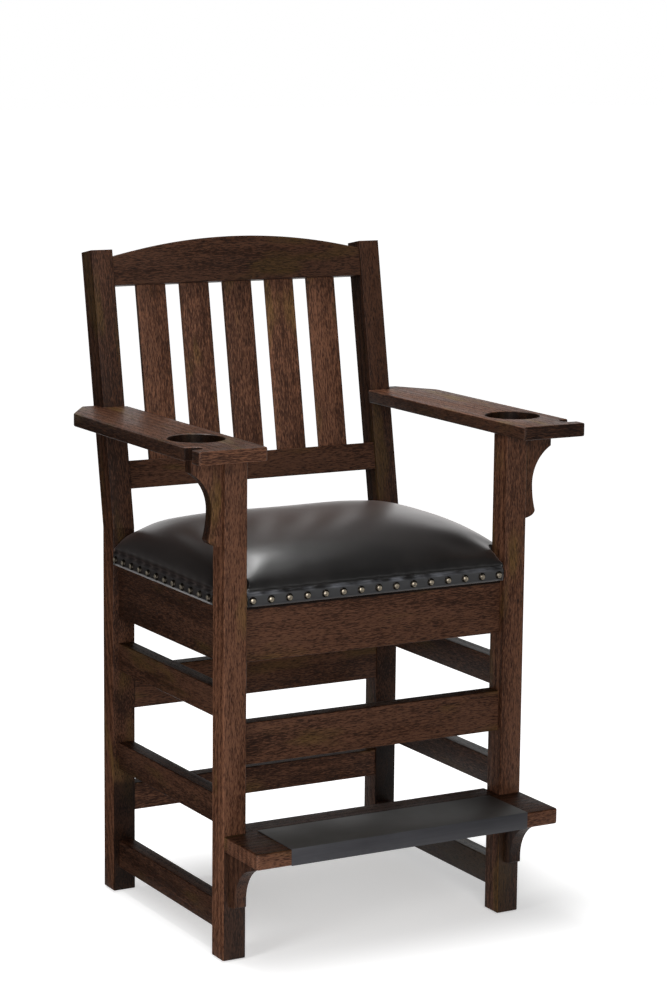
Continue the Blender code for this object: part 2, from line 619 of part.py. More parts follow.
def cushion_mesh():
    """A crowned pad notched round the legs: nailed band, drawn-in crease, full top, room for the board."""
    mesh = bpy.data.meshes.new("seat_cushion")
    notch_x = INNER_HALF - SEAT_GAP
    notch_y = REAR_LEG_FRONT - SEAT_GAP
    shape = bmesh.new()
    bmesh.ops.create_grid(shape, x_segments=CUSHION_CELLS, y_segments=CUSHION_CELLS, size=1.0)
    inner_share = 1 - 2 * CUSHION_CORNER_CELLS / CUSHION_CELLS
    corner_faces = []
    for face in shape.faces:
        middle = face.calc_center_median()
        if abs(middle.x) > inner_share and abs(middle.y) > inner_share:
            corner_faces.append(face)
    bmesh.ops.delete(shape, geom=corner_faces, context="FACES")
    for vert in shape.verts:
        u = cushion_line(vert.co.x, HALF_WIDTH, notch_x)
        v = cushion_line(vert.co.y, HALF_DEPTH, notch_y)
        swell = max(0.0, (1 - abs(u) ** CROWN_POWER) * (1 - abs(v) ** CROWN_POWER)) ** CROWN_FULLNESS
        height = BAND_HEIGHT + CREASE_HEIGHT + (CROWN_RISE - CREASE_HEIGHT) * swell
        vert.co = (u * HALF_WIDTH, v * HALF_DEPTH, height)
    rim = [edge for edge in shape.edges if edge.is_boundary]
    for height, draw_in in ((BAND_HEIGHT, BAND_DRAW_IN), (BAND_HEIGHT - CREASE_HEIGHT, -BAND_DRAW_IN), (0.0, 0.0)):
        ring = bmesh.ops.extrude_edge_only(shape, edges=rim)["geom"]
        for vert in (item for item in ring if isinstance(item, bmesh.types.BMVert)):
            if abs(vert.co.x) > notch_x + BOARD_COVER:
                vert.co.x -= draw_in * math.copysign(1.0, vert.co.x)
            if abs(vert.co.y) > notch_y + BOARD_COVER:
                vert.co.y -= draw_in * math.copysign(1.0, vert.co.y)
            vert.co.z = height
        rim = [item for item in ring if isinstance(item, bmesh.types.BMEdge)]
    under = bmesh.ops.edgeloop_fill(shape, edges=rim)["faces"]
    bmesh.ops.recalc_face_normals(shape, faces=shape.faces)
    bmesh.ops.inset_individual(shape, faces=under, thickness=BOARD_COVER - FIT, use_even_offset=True)
    lifted = bmesh.ops.extrude_discrete_faces(shape, faces=under)["faces"]
    bmesh.ops.translate(shape, verts=lifted[0].verts, vec=(0, 0, BOARD_THICKNESS + FIT))
    bmesh.ops.recalc_face_normals(shape, faces=shape.faces)
    shape.to_mesh(mesh)
    shape.free()
    mesh.shade_smooth()
    return mesh


def make_drawer():
    """The hidden drawer behind the front apron, and the strips on the aprons that carry it."""
    face = FRONT_FACE + DRAWER_FACE_RECESS
    box_front = face + DRAWER_FRONT_THICKNESS + FIT
    box_back = face + DRAWER_LENGTH
    half_front = INNER_HALF - DRAWER_FRONT_GAP
    half_box = INNER_HALF - DRAWER_SIDE_GAP
    apron_inner = HALF_WIDTH - RAIL_INSET - RAIL_THICKNESS
    runner_low = APRON_LOW + RUNNER_RISE
    runner_top = runner_low + RUNNER_HEIGHT
    kicker_low = SEAT_BASE - FIT - KICKER_HEIGHT
    side_low = runner_top + FIT
    side_high = kicker_low - KICKER_CLEARANCE
    slide = new_empty("drawer_slide", frame, (0, face, side_low))
    lift = Vector((0, face, side_low))

    def drawer_board(name, low, high, finish):
        return board(name, Vector(low) - lift, Vector(high) - lift, slide, finish)

    inside = half_box - DRAWER_WALL - FIT
    bottom_low = side_low + DRAWER_BOTTOM_RISE
    bottom_from = Vector((-inside - DRAWER_GROOVE, box_front - DRAWER_GROOVE, bottom_low))
    bottom_to = Vector((inside + DRAWER_GROOVE, box_back - DRAWER_WALL + DRAWER_GROOVE,
                        bottom_low + DRAWER_BOTTOM_THICKNESS))
    grown = Vector((FIT, FIT, FIT))
    groove = make_cutter(new_piece("bottom_groove", box_mesh("bottom_groove", bottom_to - bottom_from + 2 * grown),
                                   slide, (bottom_from + bottom_to) / 2 - lift))
    front = drawer_board("drawer_front", (-half_front, face, APRON_LOW + DRAWER_FRONT_GAP),
                         (half_front, face + DRAWER_FRONT_THICKNESS, SEAT_BASE - DRAWER_FRONT_GAP), stained_wood)
    rear = drawer_board("drawer_back", (-inside, box_back - DRAWER_WALL, side_low), (inside, box_back, side_high),
                        pale_wood)
    drawer_board("drawer_bottom", bottom_from, bottom_to, plywood)
    cut(front, groove)
    cut(rear, groove)
    y_front = FRONT_LEG_BACK + FIT
    y_rear = REAR_LEG_FRONT - FIT
    for side, sign in SIDES:
        def across(first, second):
            return sorted((sign * first, sign * second))
        x_low, x_high = across(half_box, half_box - DRAWER_WALL)
        wall = drawer_board("drawer_side_" + side, (x_low, box_front, side_low), (x_high, box_back, side_high),
                            pale_wood)
        cut(wall, groove)
        x_low, x_high = across(apron_inner - FIT, half_box - RUNNER_LAP)
        board("drawer_runner_" + side, (x_low, y_front, runner_low), (x_high, y_rear, runner_top), frame, pale_wood)
        board("drawer_kicker_" + side, (x_low, y_front, kicker_low), (x_high, y_rear, kicker_low + KICKER_HEIGHT),
              frame, pale_wood)
        x_low, x_high = across(apron_inner - FIT, half_box + GUIDE_CLEARANCE)
        board("drawer_guide_" + side, (x_low, y_front, runner_top + FIT), (x_high, y_rear, runner_top + GUIDE_HEIGHT),
              frame, pale_wood)


clear_scene()
chair = new_collection("spectator_chair")
cutters = new_collection("cutters")
stained_wood = new_material("stained_wood", (0.055, 0.030, 0.024), 0.45)
pale_wood = new_material("pale_wood", (0.45, 0.30, 0.17), 0.60)
plywood = new_material("plywood", (0.50, 0.35, 0.20), 0.65)
leather = new_material("black_leather", (0.012, 0.012, 0.012), 0.35)
charcoal_plate = new_material("charcoal_plate", (0.040, 0.040, 0.045), 0.55, 0.3)
nylon = new_material("nylon", (0.02, 0.02, 0.02), 0.60)

frame = new_empty("chair_frame", location=(0, FRAME_Y, 0))
back = new_empty("leaning_back", frame, (0, REAR_LEG_FRONT, BEND_HEIGHT), (-RAKE, 0, 0))
make_legs()
make_rails()
make_back()
make_arms()
make_brackets()
make_footrest()
make_seat()
make_drawer()
bpy.context.view_layer.update()
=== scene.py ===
# %% [markdown]
# # A tall spectator chair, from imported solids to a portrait
# The solids already hold every size and every place. This lesson dresses them: rounded boards instead of
# chamfered ones, a stuffed leather seat with its nails, stained open-grain wood, and a studio to stand in.
# The whole object stays in the solids' own frame: metres, +Z up, the chair facing -Y.

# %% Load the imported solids
import math

import bpy
from mathutils import Matrix, Vector


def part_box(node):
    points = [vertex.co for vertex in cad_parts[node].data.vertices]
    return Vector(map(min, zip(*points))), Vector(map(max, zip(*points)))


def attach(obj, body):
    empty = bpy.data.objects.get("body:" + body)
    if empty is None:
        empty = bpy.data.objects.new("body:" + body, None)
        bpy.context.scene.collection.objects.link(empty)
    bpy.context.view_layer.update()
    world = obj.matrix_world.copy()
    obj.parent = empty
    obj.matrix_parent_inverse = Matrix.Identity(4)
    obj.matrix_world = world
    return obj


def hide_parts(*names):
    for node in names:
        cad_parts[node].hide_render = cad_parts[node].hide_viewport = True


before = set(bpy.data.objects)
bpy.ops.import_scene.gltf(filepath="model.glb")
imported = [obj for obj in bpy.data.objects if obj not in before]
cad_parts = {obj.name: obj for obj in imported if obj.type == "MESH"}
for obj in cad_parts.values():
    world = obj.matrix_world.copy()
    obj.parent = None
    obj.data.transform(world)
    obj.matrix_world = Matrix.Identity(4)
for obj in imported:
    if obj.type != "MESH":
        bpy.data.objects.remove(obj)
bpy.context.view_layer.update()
SIDES = {"left": -1, "right": 1}
QUARTER_TURN = math.pi / 2

# %% [markdown]
# ## The camera comes first
# A portrait is only comparable with the real thing from the same place. The camera was found by fitting a
# pinhole to the straight edges of the legs and rails, so it is written as a place, two angles and a small
# roll.

# %% Place the camera
CAMERA_PLACE = Vector((-2.4263, -4.3315, 1.6272))
CAMERA_AZIMUTH = math.radians(-29.611)
CAMERA_DOWN = math.radians(9.891)
CAMERA_ROLL = math.radians(0.598)
SENSOR_HEIGHT = 36.0
FOCAL_LENGTH = 99.61

ahead = Vector((-math.sin(CAMERA_AZIMUTH) * math.cos(CAMERA_DOWN),
                math.cos(CAMERA_AZIMUTH) * math.cos(CAMERA_DOWN), -math.sin(CAMERA_DOWN)))
level = Vector((math.cos(CAMERA_AZIMUTH), math.sin(CAMERA_AZIMUTH), 0.0))
upright = level.cross(ahead)
right = level * math.cos(CAMERA_ROLL) + upright * math.sin(CAMERA_ROLL)
above = upright * math.cos(CAMERA_ROLL) - level * math.sin(CAMERA_ROLL)
camera_data = bpy.data.cameras.new("portrait_camera")
camera_data.sensor_fit = "VERTICAL"
camera_data.sensor_height = SENSOR_HEIGHT
camera_data.lens = FOCAL_LENGTH
camera = bpy.data.objects.new("portrait_camera", camera_data)
bpy.context.scene.collection.objects.link(camera)
turn = Matrix((right, above, -ahead)).transposed().to_4x4()
camera.matrix_world = Matrix.Translation(CAMERA_PLACE) @ turn
bpy.context.scene.camera = camera
print("camera looks along", tuple(round(part, 3) for part in ahead))

# %% [markdown]
# ## Helpers for working as by hand
# An operator acts on whatever is selected, so each helper first makes one object the only selected one.
# Edges and faces are picked by where they lie, which is how a hand would find them on the screen.

# %% Select and pick
NEAR = 0.00001
X, Y, Z = range(3)


def corners(node):
    """The lowest and the highest corner of a solid."""
    return [Vector(corner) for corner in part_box(node)]


def alone(piece):
    """Make one object the only selected one."""
    bpy.ops.object.select_all(action="DESELECT")
    piece.select_set(True)
    bpy.context.view_layer.objects.active = piece


def settle(piece):
    """Put an object's place, turn and size into its mesh."""
    alone(piece)
    bpy.ops.object.transform_apply(location=True, rotation=True, scale=True)


def leave_edit():
    """Go back to object mode."""
    bpy.ops.object.mode_set(mode="OBJECT")


def pick_nothing(piece, kind):
    """Enter edit mode with nothing selected, ready to pick edges or faces."""
    alone(piece)
    bpy.ops.object.mode_set(mode="EDIT")
    bpy.ops.mesh.select_mode(type=kind)
    bpy.ops.mesh.select_all(action="DESELECT")


def pick_all(piece):
    """Enter edit mode with everything selected."""
    alone(piece)
    bpy.ops.object.mode_set(mode="EDIT")
    bpy.ops.mesh.select_all(action="SELECT")


def pick_edges(piece, wanted):
    """Pick the edges that a test on their two ends wants, and stay in edit mode."""
    pick_nothing(piece, "EDGE")
    leave_edit()
    spots = [vert.co.copy() for vert in piece.data.vertices]
    for edge in piece.data.edges:
        edge.select = wanted(spots[edge.vertices[0]], spots[edge.vertices[1]])
    bpy.ops.object.mode_set(mode="EDIT")


def pick_faces(piece, wanted):
    """Pick the faces that a test on their middle and normal wants, and stay in edit mode."""
    pick_nothing(piece, "FACE")
    leave_edit()
    for face in piece.data.polygons:
        face.select = wanted(face.center, face.normal)
    bpy.ops.object.mode_set(mode="EDIT")


def pick_open_rim(piece):
    """Pick the edges that have a face on one side only, and stay in edit mode."""
    pick_nothing(piece, "EDGE")
    bpy.ops.mesh.select_non_manifold(extend=False, use_wire=False, use_boundary=True, use_multi_face=False,
                                     use_non_contiguous=False, use_verts=False)


# %% [markdown]
# Most pieces start as a primitive at their real size. What is left after cutting and drawing out gets its
# edges rounded, because no real edge is perfectly sharp and a rounded one catches the light.

# %% Block out, cut and round
SOFT_PROFILE = 0.55
SMOOTH_BELOW = 35
SHARP = math.radians(50)
ROD_SIDES = 96


def primitive(name, add, **settings):
    """Add a primitive with nothing else selected, and name it."""
    bpy.ops.object.select_all(action="DESELECT")
    add(**settings)
    piece = bpy.context.object
    piece.name = name
    return piece


def block(name, low, high):
    """A cube between two corners."""
    low, high = Vector(low), Vector(high)
    piece = primitive(name, bpy.ops.mesh.primitive_cube_add, size=1.0, location=(low + high) / 2)
    piece.scale = high - low
    settle(piece)
    return piece


def sheet(name, low, high, height):
    """A flat sheet between two corners, at one height."""
    middle = ((low[0] + high[0]) / 2, (low[1] + high[1]) / 2, height)
    piece = primitive(name, bpy.ops.mesh.primitive_plane_add, size=1.0, location=middle)
    piece.scale = (high[0] - low[0], high[1] - low[1], 1.0)
    settle(piece)
    return piece


def rod(name, centre, radius, height, sides=ROD_SIDES):
    """An upright cylinder round its middle."""
    piece = primitive(name, bpy.ops.mesh.primitive_cylinder_add, vertices=sides, radius=radius, depth=height,
                      location=centre)
    settle(piece)
    return piece


def draw_out(step):
    """Extrude what is picked along a vector."""
    bpy.ops.mesh.extrude_region_move(TRANSFORM_OT_translate={"value": step})


def round_picked(width, segments=3):
    """Round the picked edges and leave edit mode."""
    bpy.ops.mesh.bevel(offset=width, offset_type="OFFSET", segments=segments, profile=SOFT_PROFILE,
                       clamp_overlap=True)
    leave_edit()


def smooth(piece, angle=SMOOTH_BELOW):
    """Shade smooth, with creases where faces meet at more than this angle."""
    alone(piece)
    bpy.ops.object.shade_smooth_by_angle(angle=math.radians(angle))


def apply_modifier(piece, kind, **settings):
    """Add a modifier, set it and apply it."""
    alone(piece)
    modifier = piece.modifiers.new(kind.lower(), kind)
    for name, value in settings.items():
        setattr(modifier, name, value)
    bpy.ops.object.modifier_apply(modifier=modifier.name)


def carve(piece, tool):
    """Cut one shape out of another and throw the cutting shape away."""
    apply_modifier(piece, "BOOLEAN", operation="DIFFERENCE", object=tool, solver="EXACT")
    bpy.data.objects.remove(tool, do_unlink=True)


def round_sharp(piece, width, segments, **settings):
    """Round all sharp edges of a piece at once."""
    apply_modifier(piece, "BEVEL", width=width, segments=segments, limit_method="ANGLE", angle_limit=SHARP,
                   **settings)


# %% [markdown]
# ## Helpers for finishes
# A finish is a tree of nodes that ends in one shader. Each helper adds one node, feeds it with a value or a
# link, and hands back what comes out, so that a finish reads from the top down like a recipe.

# %% Small helpers for node trees
def add_node(tree, kind, **settings):
    """A node with its settings."""
    node = tree.nodes.new(kind)
    for name, value in settings.items():
        setattr(node, name, value)
    return node


def feed(tree, socket, source):
    """Give a socket a value or a link from another socket. A colour gets its alpha here."""
    if isinstance(source, bpy.types.NodeSocket):
        tree.links.new(source, socket)
    elif socket.type == "RGBA":
        socket.default_value = (*source, 1.0)
    else:
        socket.default_value = source


def scaled(tree, vector, factors):
    """A vector stretched by three factors."""
    node = add_node(tree, "ShaderNodeVectorMath", operation="MULTIPLY")
    feed(tree, node.inputs[0], vector)
    feed(tree, node.inputs[1], factors)
    return node.outputs[0]


def split(tree, vector):
    """The X, Y and Z of a vector."""
    node = add_node(tree, "ShaderNodeSeparateXYZ")
    feed(tree, node.inputs[0], vector)
    return node.outputs


def noise(tree, vector, scale, detail=2.0, roughness=0.5):
    """A noise value."""
    node = add_node(tree, "ShaderNodeTexNoise")
    feed(tree, node.inputs["Vector"], vector)
    for socket, value in (("Scale", scale), ("Detail", detail), ("Roughness", roughness)):
        feed(tree, node.inputs[socket], value)
    return node.outputs["Fac"]


def ramp(tree, value, low, high, to_low=0.0, to_high=1.0):
    """A smooth step from one value to another."""
    node = add_node(tree, "ShaderNodeMapRange", interpolation_type="SMOOTHSTEP")
    feed(tree, node.inputs["Value"], value)
    for socket, limit in (("From Min", low), ("From Max", high), ("To Min", to_low), ("To Max", to_high)):
        feed(tree, node.inputs[socket], limit)
    return node.outputs["Result"]


# %% Sums, colours and materials
def math_node(tree, operation, first, second=0.0):
    """One sum on two values."""
    node = add_node(tree, "ShaderNodeMath", operation=operation)
    feed(tree, node.inputs[0], first)
    feed(tree, node.inputs[1], second)
    return node.outputs[0]


def product(tree, first, *others):
    """Values multiplied together."""
    for other in others:
        first = math_node(tree, "MULTIPLY", first, other)
    return first


def weighted(tree, *parts):
    """A sum of values, each with its weight."""
    total = 0.0
    for value, weight in parts:
        total = math_node(tree, "ADD", total, product(tree, value, weight))
    return total


def reverse(tree, value):
    """What a value lacks to 1."""
    return math_node(tree, "SUBTRACT", 1.0, value)


def mix_colour(tree, factor, first, second):
    """Two colours mixed by a factor."""
    node = add_node(tree, "ShaderNodeMix", data_type="RGBA")
    for socket, source in (("Factor", factor), ("A", first), ("B", second)):
        feed(tree, node.inputs[socket], source)
    return node.outputs["Result"]


def relief(tree, height, strength, depth):
    """A normal that shows a height as relief."""
    node = add_node(tree, "ShaderNodeBump")
    for socket, source in (("Strength", strength), ("Distance", depth), ("Height", height)):
        feed(tree, node.inputs[socket], source)
    return node.outputs["Normal"]


def new_finish(name):
    """A new material, its tree, and the place of each point on the object."""
    material = bpy.data.materials.new(name)
    material.use_nodes = True
    tree = material.node_tree
    return material, tree, add_node(tree, "ShaderNodeTexCoord").outputs["Object"]


def set_shader(tree, sources):
    """Feed the shader's sockets by name."""
    for socket, source in sources.items():
        feed(tree, tree.nodes["Principled BSDF"].inputs[socket], source)


def paint(piece, *materials):
    """Give a piece these materials and no others."""
    piece.data.materials.clear()
    for material in materials:
        piece.data.materials.append(material)


# %% [markdown]
# ## Open-grain stain
# The wood is stained so dark that its figure shows mostly as texture: short dark pores that run along the
# grain, soft bands of earlier and later growth, and here and there a faint olive blush under the lacquer.
# One node group makes all of that from a vector whose X runs along the grain. Each board turns and shifts
# that vector with its own Mapping node, so no two boards share a pattern.

# %% The grain group
STAIN = {"Lit": (0.122, 0.053, 0.0295), "Deep": (0.036, 0.0142, 0.0077), "Pore": (0.012, 0.0045, 0.0025),
         "Blush": (0.118, 0.069, 0.019)}
BLUSH = 0.5
PORES = 0.75
FIGURES = {"patches": (5.0, 20.0, 20.0), "growth": (0.6, 8.0, 6.0), "bands": (3.0, 34.0, 34.0),
           "streaks": (34.0, 700.0, 700.0), "flecks": (110.0, 900.0, 900.0), "dashes": (85.0, 800.0, 800.0)}
DETAIL = {"patches": (2.0, 0.5), "bands": (3.0, 0.6), "streaks": (2.0, 0.6), "flecks": (1.0, 0.6),
          "dashes": (2.0, 0.6)}
GROWTH = {"Scale": 2.6, "Distortion": 4.0, "Detail": 2.0, "Detail Scale": 0.8}
WEIGHTS = {"bands": 0.24, "streaks": 0.34, "flecks": 0.42, "growth": 0.05}
TONE_RANGE = (0.475, 0.565)
PATCH_RANGE = (0.55, 0.70)
PORE_RANGE = (0.47, 0.62)
GROWTH_RANGE = (0.1, 0.9)
GROWTH_PORES = (0.03, -0.03)
GLOSS_RANGE = (0.3, 0.7)
LACQUER_ROUGHNESS = (0.36, 0.48)
PORE_ROUGHNESS = 0.12
PORE_DIP = -0.8
STREAK_RISE = 0.35
COLOUR, VALUE, VECTOR = "NodeSocketColor", "NodeSocketFloat", "NodeSocketVector"


def new_group(name, inputs, outputs):
    """An empty shader group with named sockets, and its two end nodes."""
    group = bpy.data.node_groups.new(name, "ShaderNodeTree")
    for socket, kind, value in inputs:
        made = group.interface.new_socket(name=socket, in_out="INPUT", socket_type=kind)
        if kind == COLOUR:
            made.default_value = (*value, 1.0)
        elif kind == VALUE:
            made.default_value = value
    for socket, kind in outputs:
        group.interface.new_socket(name=socket, in_out="OUTPUT", socket_type=kind)
    return group, add_node(group, "NodeGroupInput"), add_node(group, "NodeGroupOutput")


def make_grain_group():
    """Colour, roughness and height of a board whose grain runs along the vector's X."""
    colours = [(name, COLOUR, colour) for name, colour in STAIN.items()]
    amounts = [("Blush Amount", VALUE, BLUSH), ("Pore Amount", VALUE, PORES), ("Shade", VALUE, 1.0)]
    group, start, end = new_group("open_grain", [("Vector", VECTOR, None), *colours, *amounts],
                                  [("Color", COLOUR), ("Roughness", VALUE), ("Height", VALUE)])
    given = start.outputs
    drawn = {name: scaled(group, given["Vector"], closeness) for name, closeness in FIGURES.items()}
    figure = {name: noise(group, drawn[name], 1.0, *detail) for name, detail in DETAIL.items()}
    wave = add_node(group, "ShaderNodeTexWave", wave_type="BANDS", bands_direction="Y", wave_profile="SIN")
    feed(group, wave.inputs["Vector"], drawn["growth"])
    for socket, value in GROWTH.items():
        feed(group, wave.inputs[socket], value)
    figure["growth"] = wave.outputs["Fac"]

    tone = weighted(group, *((figure[name], weight) for name, weight in WEIGHTS.items()))
    body = mix_colour(group, ramp(group, tone, *TONE_RANGE), given["Deep"], given["Lit"])
    patch = ramp(group, figure["patches"], *PATCH_RANGE)
    body = mix_colour(group, product(group, patch, given["Blush Amount"]), body, given["Blush"])
    crowd = ramp(group, figure["growth"], *GROWTH_RANGE, *GROWTH_PORES)
    pores = ramp(group, math_node(group, "ADD", figure["dashes"], crowd), *PORE_RANGE)
    body = mix_colour(group, product(group, pores, given["Pore Amount"]), body, given["Pore"])
    shade = add_node(group, "ShaderNodeVectorMath", operation="SCALE")
    feed(group, shade.inputs[0], body)
    feed(group, shade.inputs["Scale"], given["Shade"])
    lacquer = ramp(group, figure["bands"], *GLOSS_RANGE, *LACQUER_ROUGHNESS)
    feed(group, end.inputs["Color"], shade.outputs[0])
    feed(group, end.inputs["Roughness"], weighted(group, (lacquer, 1.0), (pores, PORE_ROUGHNESS)))
    feed(group, end.inputs["Height"], weighted(group, (pores, PORE_DIP), (figure["streaks"], STREAK_RISE)))
    return group


GRAIN = make_grain_group()
print("grain group nodes:", len(GRAIN.nodes))

# %% [markdown]
# A board's own finish is that group with three things set: which way the grain runs, where in the log the
# board was cut, and how much stain it drank. The back leans, so its grain leans with it.

# %% A board's finish
RAKE = math.radians(10.3)
ALONG_X = (0.0, 0.0, 0.0)
ALONG_Y = (0.0, 0.0, -QUARTER_TURN)
ALONG_Z = (0.0, QUARTER_TURN, 0.0)
LEANING_X = (RAKE, 0.0, 0.0)
LEANING_Z = (RAKE, QUARTER_TURN, 0.0)
LOG_STEPS = (1.37, 0.73, 0.41)
LOG_SIZES = (3.0, 2.0, 2.0)
GRAIN_STRENGTH = 0.35
GRAIN_DEPTH = 0.0006
WOOD_GLOSS = 0.15


def wood(name, grain, shift, colours, shade=None, gloss=WOOD_GLOSS):
    """One finish. A painted shade is two heights, and how light the wood is painted below and above them."""
    material, tree, place = new_finish(name)
    mapping = add_node(tree, "ShaderNodeMapping")
    cut_at = [shift * step % size for step, size in zip(LOG_STEPS, LOG_SIZES)]
    for socket, source in (("Vector", place), ("Rotation", grain), ("Location", cut_at)):
        feed(tree, mapping.inputs[socket], source)
    figure = add_node(tree, "ShaderNodeGroup", node_tree=GRAIN)
    feed(tree, figure.inputs["Vector"], mapping.outputs["Vector"])
    for socket, value in colours.items():
        feed(tree, figure.inputs[socket], value)
    if shade:
        feed(tree, figure.inputs["Shade"], ramp(tree, split(tree, place)["Z"], *shade))
    set_shader(tree, {"Base Color": figure.outputs["Color"], "Roughness": figure.outputs["Roughness"],
                      "Normal": relief(tree, figure.outputs["Height"], GRAIN_STRENGTH, GRAIN_DEPTH),
                      "Specular IOR Level": gloss})
    return material


# %% [markdown]
# No two boards take stain alike. Some faces of a board are painted darker or lighter as painted light and
# shade, and some are shinier than the rest. A number for each board says how light it came out, partly stain
# and partly painted light and shade, and an area names faces with a finish of their own.

# %% Dress a board
# Tones per board: partly the stain each board drank, partly painted light and shade, such as the dark low
# right stretcher, painted as shaded inside the frame.
TONES = {
    "front_leg_left": 1.05, "front_leg_right": 1.12, "rear_post_left": 0.66, "rear_post_right": 0.55,
    "side_apron_left": 0.55, "side_apron_right": 0.6, "rear_apron": 0.7,
    "side_stretcher_upper_left": 0.60, "side_stretcher_middle_left": 0.60, "side_stretcher_low_left": 0.55,
    "side_stretcher_upper_right": 0.65, "side_stretcher_middle_right": 0.6, "side_stretcher_low_right": 0.3,
    "front_stretcher": 0.8, "rear_upper_stretcher": 0.75, "rear_lower_stretcher": 1.1, "drawer_front": 0.8,
    "crest_rail": 0.5, "lower_back_rail": 0.65,
    "back_slat_1": 1.32, "back_slat_2": 1.6, "back_slat_3": 1.35, "back_slat_4": 1.65, "back_slat_5": 1.42,
    "arm_left": 0.5, "arm_right": 0.46, "arm_corbel_left": 1.1, "arm_corbel_right": 0.85,
    "footrest_board": 1.15, "footrest_bracket_left": 0.6, "footrest_bracket_right": 0.38,
}
FACING = 0.5
board_count = 0


def to_front(spot, normal):
    """A test for faces that look to the front."""
    return normal.y < -FACING


def to_left(spot, normal):
    """A test for faces that look to the left."""
    return normal.x < -FACING


def to_top(spot, normal):
    """A test for faces that look up."""
    return normal.z > FACING


def stained(tone, blush=BLUSH):
    """The stain's colours made lighter or darker by a tone: the stain a board drank, and painted light and
    shade.
    """
    colours = {name: tuple(part * tone for part in colour) for name, colour in STAIN.items()}
    return colours | {"Blush Amount": blush}


def area(name, wanted, tone, gloss=WOOD_GLOSS, blush=BLUSH, shade=None, grain=None):
    """Faces of a board with their own tone and gloss, most of them painted light and shade."""
    return {"name": name, "wanted": wanted, "grain": grain,
            "look": {"colours": stained(tone, blush), "shade": shade, "gloss": gloss}}


def dress(piece, grain, node, body="chair_frame", areas=()):
    """Stain a finished board, set it in place of its solid and let it ride on its body."""
    global board_count
    board_count += 1
    finishes = [wood("stain_" + piece.name, grain, board_count, stained(TONES[node]))]
    for part in areas:
        name = part["name"] + "_" + piece.name
        finishes.append(wood(name, part["grain"] or grain, board_count, **part["look"]))
    paint(piece, *finishes)
    for slot, part in enumerate(areas, start=1):
        for face in piece.data.polygons:
            if part["wanted"](face.center, face.normal):
                face.material_index = slot
    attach(piece, body)
    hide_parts(node)


# %% [markdown]
# ## Straight boards
# Legs, aprons and stretchers are planed boards whose long edges were softened with a few strokes of
# sandpaper. A cube at the size of the solid is enough to start from. The solid's length includes its hidden
# tenons, so these come off first. Only the long edges are rounded: the ends meet a leg and stay crisp.

# %% Rails and stretchers
TENON = 0.015
SOFT_EDGE = 0.0022
MOSTLY = 0.9
# The upper faces of the rails are painted dark: painted shade of the seat and aprons above them.
UPPER_PAINTED_SHADE_TONE = 0.4
UPPER_GLOSS = 0.02


def long_edges(axis):
    """A test for edges that run along one axis."""
    def wanted(first, second):
        along = abs(first[axis] - second[axis])
        return along > MOSTLY * (first - second).length
    return wanted


upright_edge = long_edges(Z)


def soften(piece, axis, width=SOFT_EDGE):
    """Round the long edges of a straight board."""
    pick_edges(piece, long_edges(axis))
    round_picked(width)
    smooth(piece)


def rail(node, axis, grain, body="chair_frame", tenon=TENON, areas=()):
    """A straight board between two legs, its upper face painted darker as painted shade of what is above it.
    """
    low, high = corners(node)
    low[axis] += tenon
    high[axis] -= tenon
    piece = block(node + "_board", low, high)
    soften(piece, axis)
    lit = node.startswith("side_stretcher") and node.endswith("right")
    upper = area("upper", to_top, UPPER_PAINTED_SHADE_TONE, WOOD_GLOSS if lit else UPPER_GLOSS)
    dress(piece, grain, node, body, [upper, *areas])


for side in SIDES:
    rail("side_apron_" + side, Y, ALONG_Y)
    for step in ("low", "middle", "upper"):
        rail("side_stretcher_%s_%s" % (step, side), Y, ALONG_Y)
for node in ("rear_apron", "front_stretcher", "rear_upper_stretcher", "rear_lower_stretcher"):
    rail(node, X, ALONG_X)
print("rails made:", board_count)

# %% [markdown]
# ## Legs and leaning posts
# A front leg is one square post with a small chamfer round its foot. A rear post is sawn from a wider plank:
# upright to the seat, then leaning back. It starts as the upright part, and its top face is drawn out along
# the lean, just as the saw would follow the line. The shins below the footrest are painted darker, as a
# painted shadow, and some flanks get painted light and shade.

# %% Legs
FOOT_CHAMFER = 0.003
LONG = 0.1
# Below the footrest's height the wood is painted darker: the footrest's painted shadow on the front legs,
# painted shade under the chair on the rear posts.
BELOW_FOOTREST_PAINTED_SHADE = (0.204, 0.226, 0.33, 1.0)
# The left faces of the front legs get painted light and shade: lighter on the left leg, darker on the right
# leg's inner face.
FLANK_PAINTED_TONES = {"left": 1.15, "right": 0.92}
FLANK_GLOSS = 0.04


def round_post(piece, foot):
    """Round the long edges of a post and chamfer its foot."""
    pick_edges(piece, lambda first, second: abs(first.z - second.z) > LONG)
    round_picked(SOFT_EDGE)
    pick_edges(piece, lambda first, second: max(first.z, second.z) < foot + NEAR)
    round_picked(FOOT_CHAMFER, segments=2)
    smooth(piece)


for side in SIDES:
    node = "front_leg_" + side
    low, high = corners(node)
    leg = block(node + "_post", low, high)
    round_post(leg, low.z)
    dress(leg, ALONG_Z, node, areas=[area("shin", to_front, TONES[node], shade=BELOW_FOOTREST_PAINTED_SHADE),
                                     area("flank", to_left, FLANK_PAINTED_TONES[side], FLANK_GLOSS)])
    print(leg.name, "faces:", len(leg.data.polygons))

# %% Rear posts
POST = 0.044
BEND_HEIGHT = 0.6968
RAKED_LENGTH = 0.5135
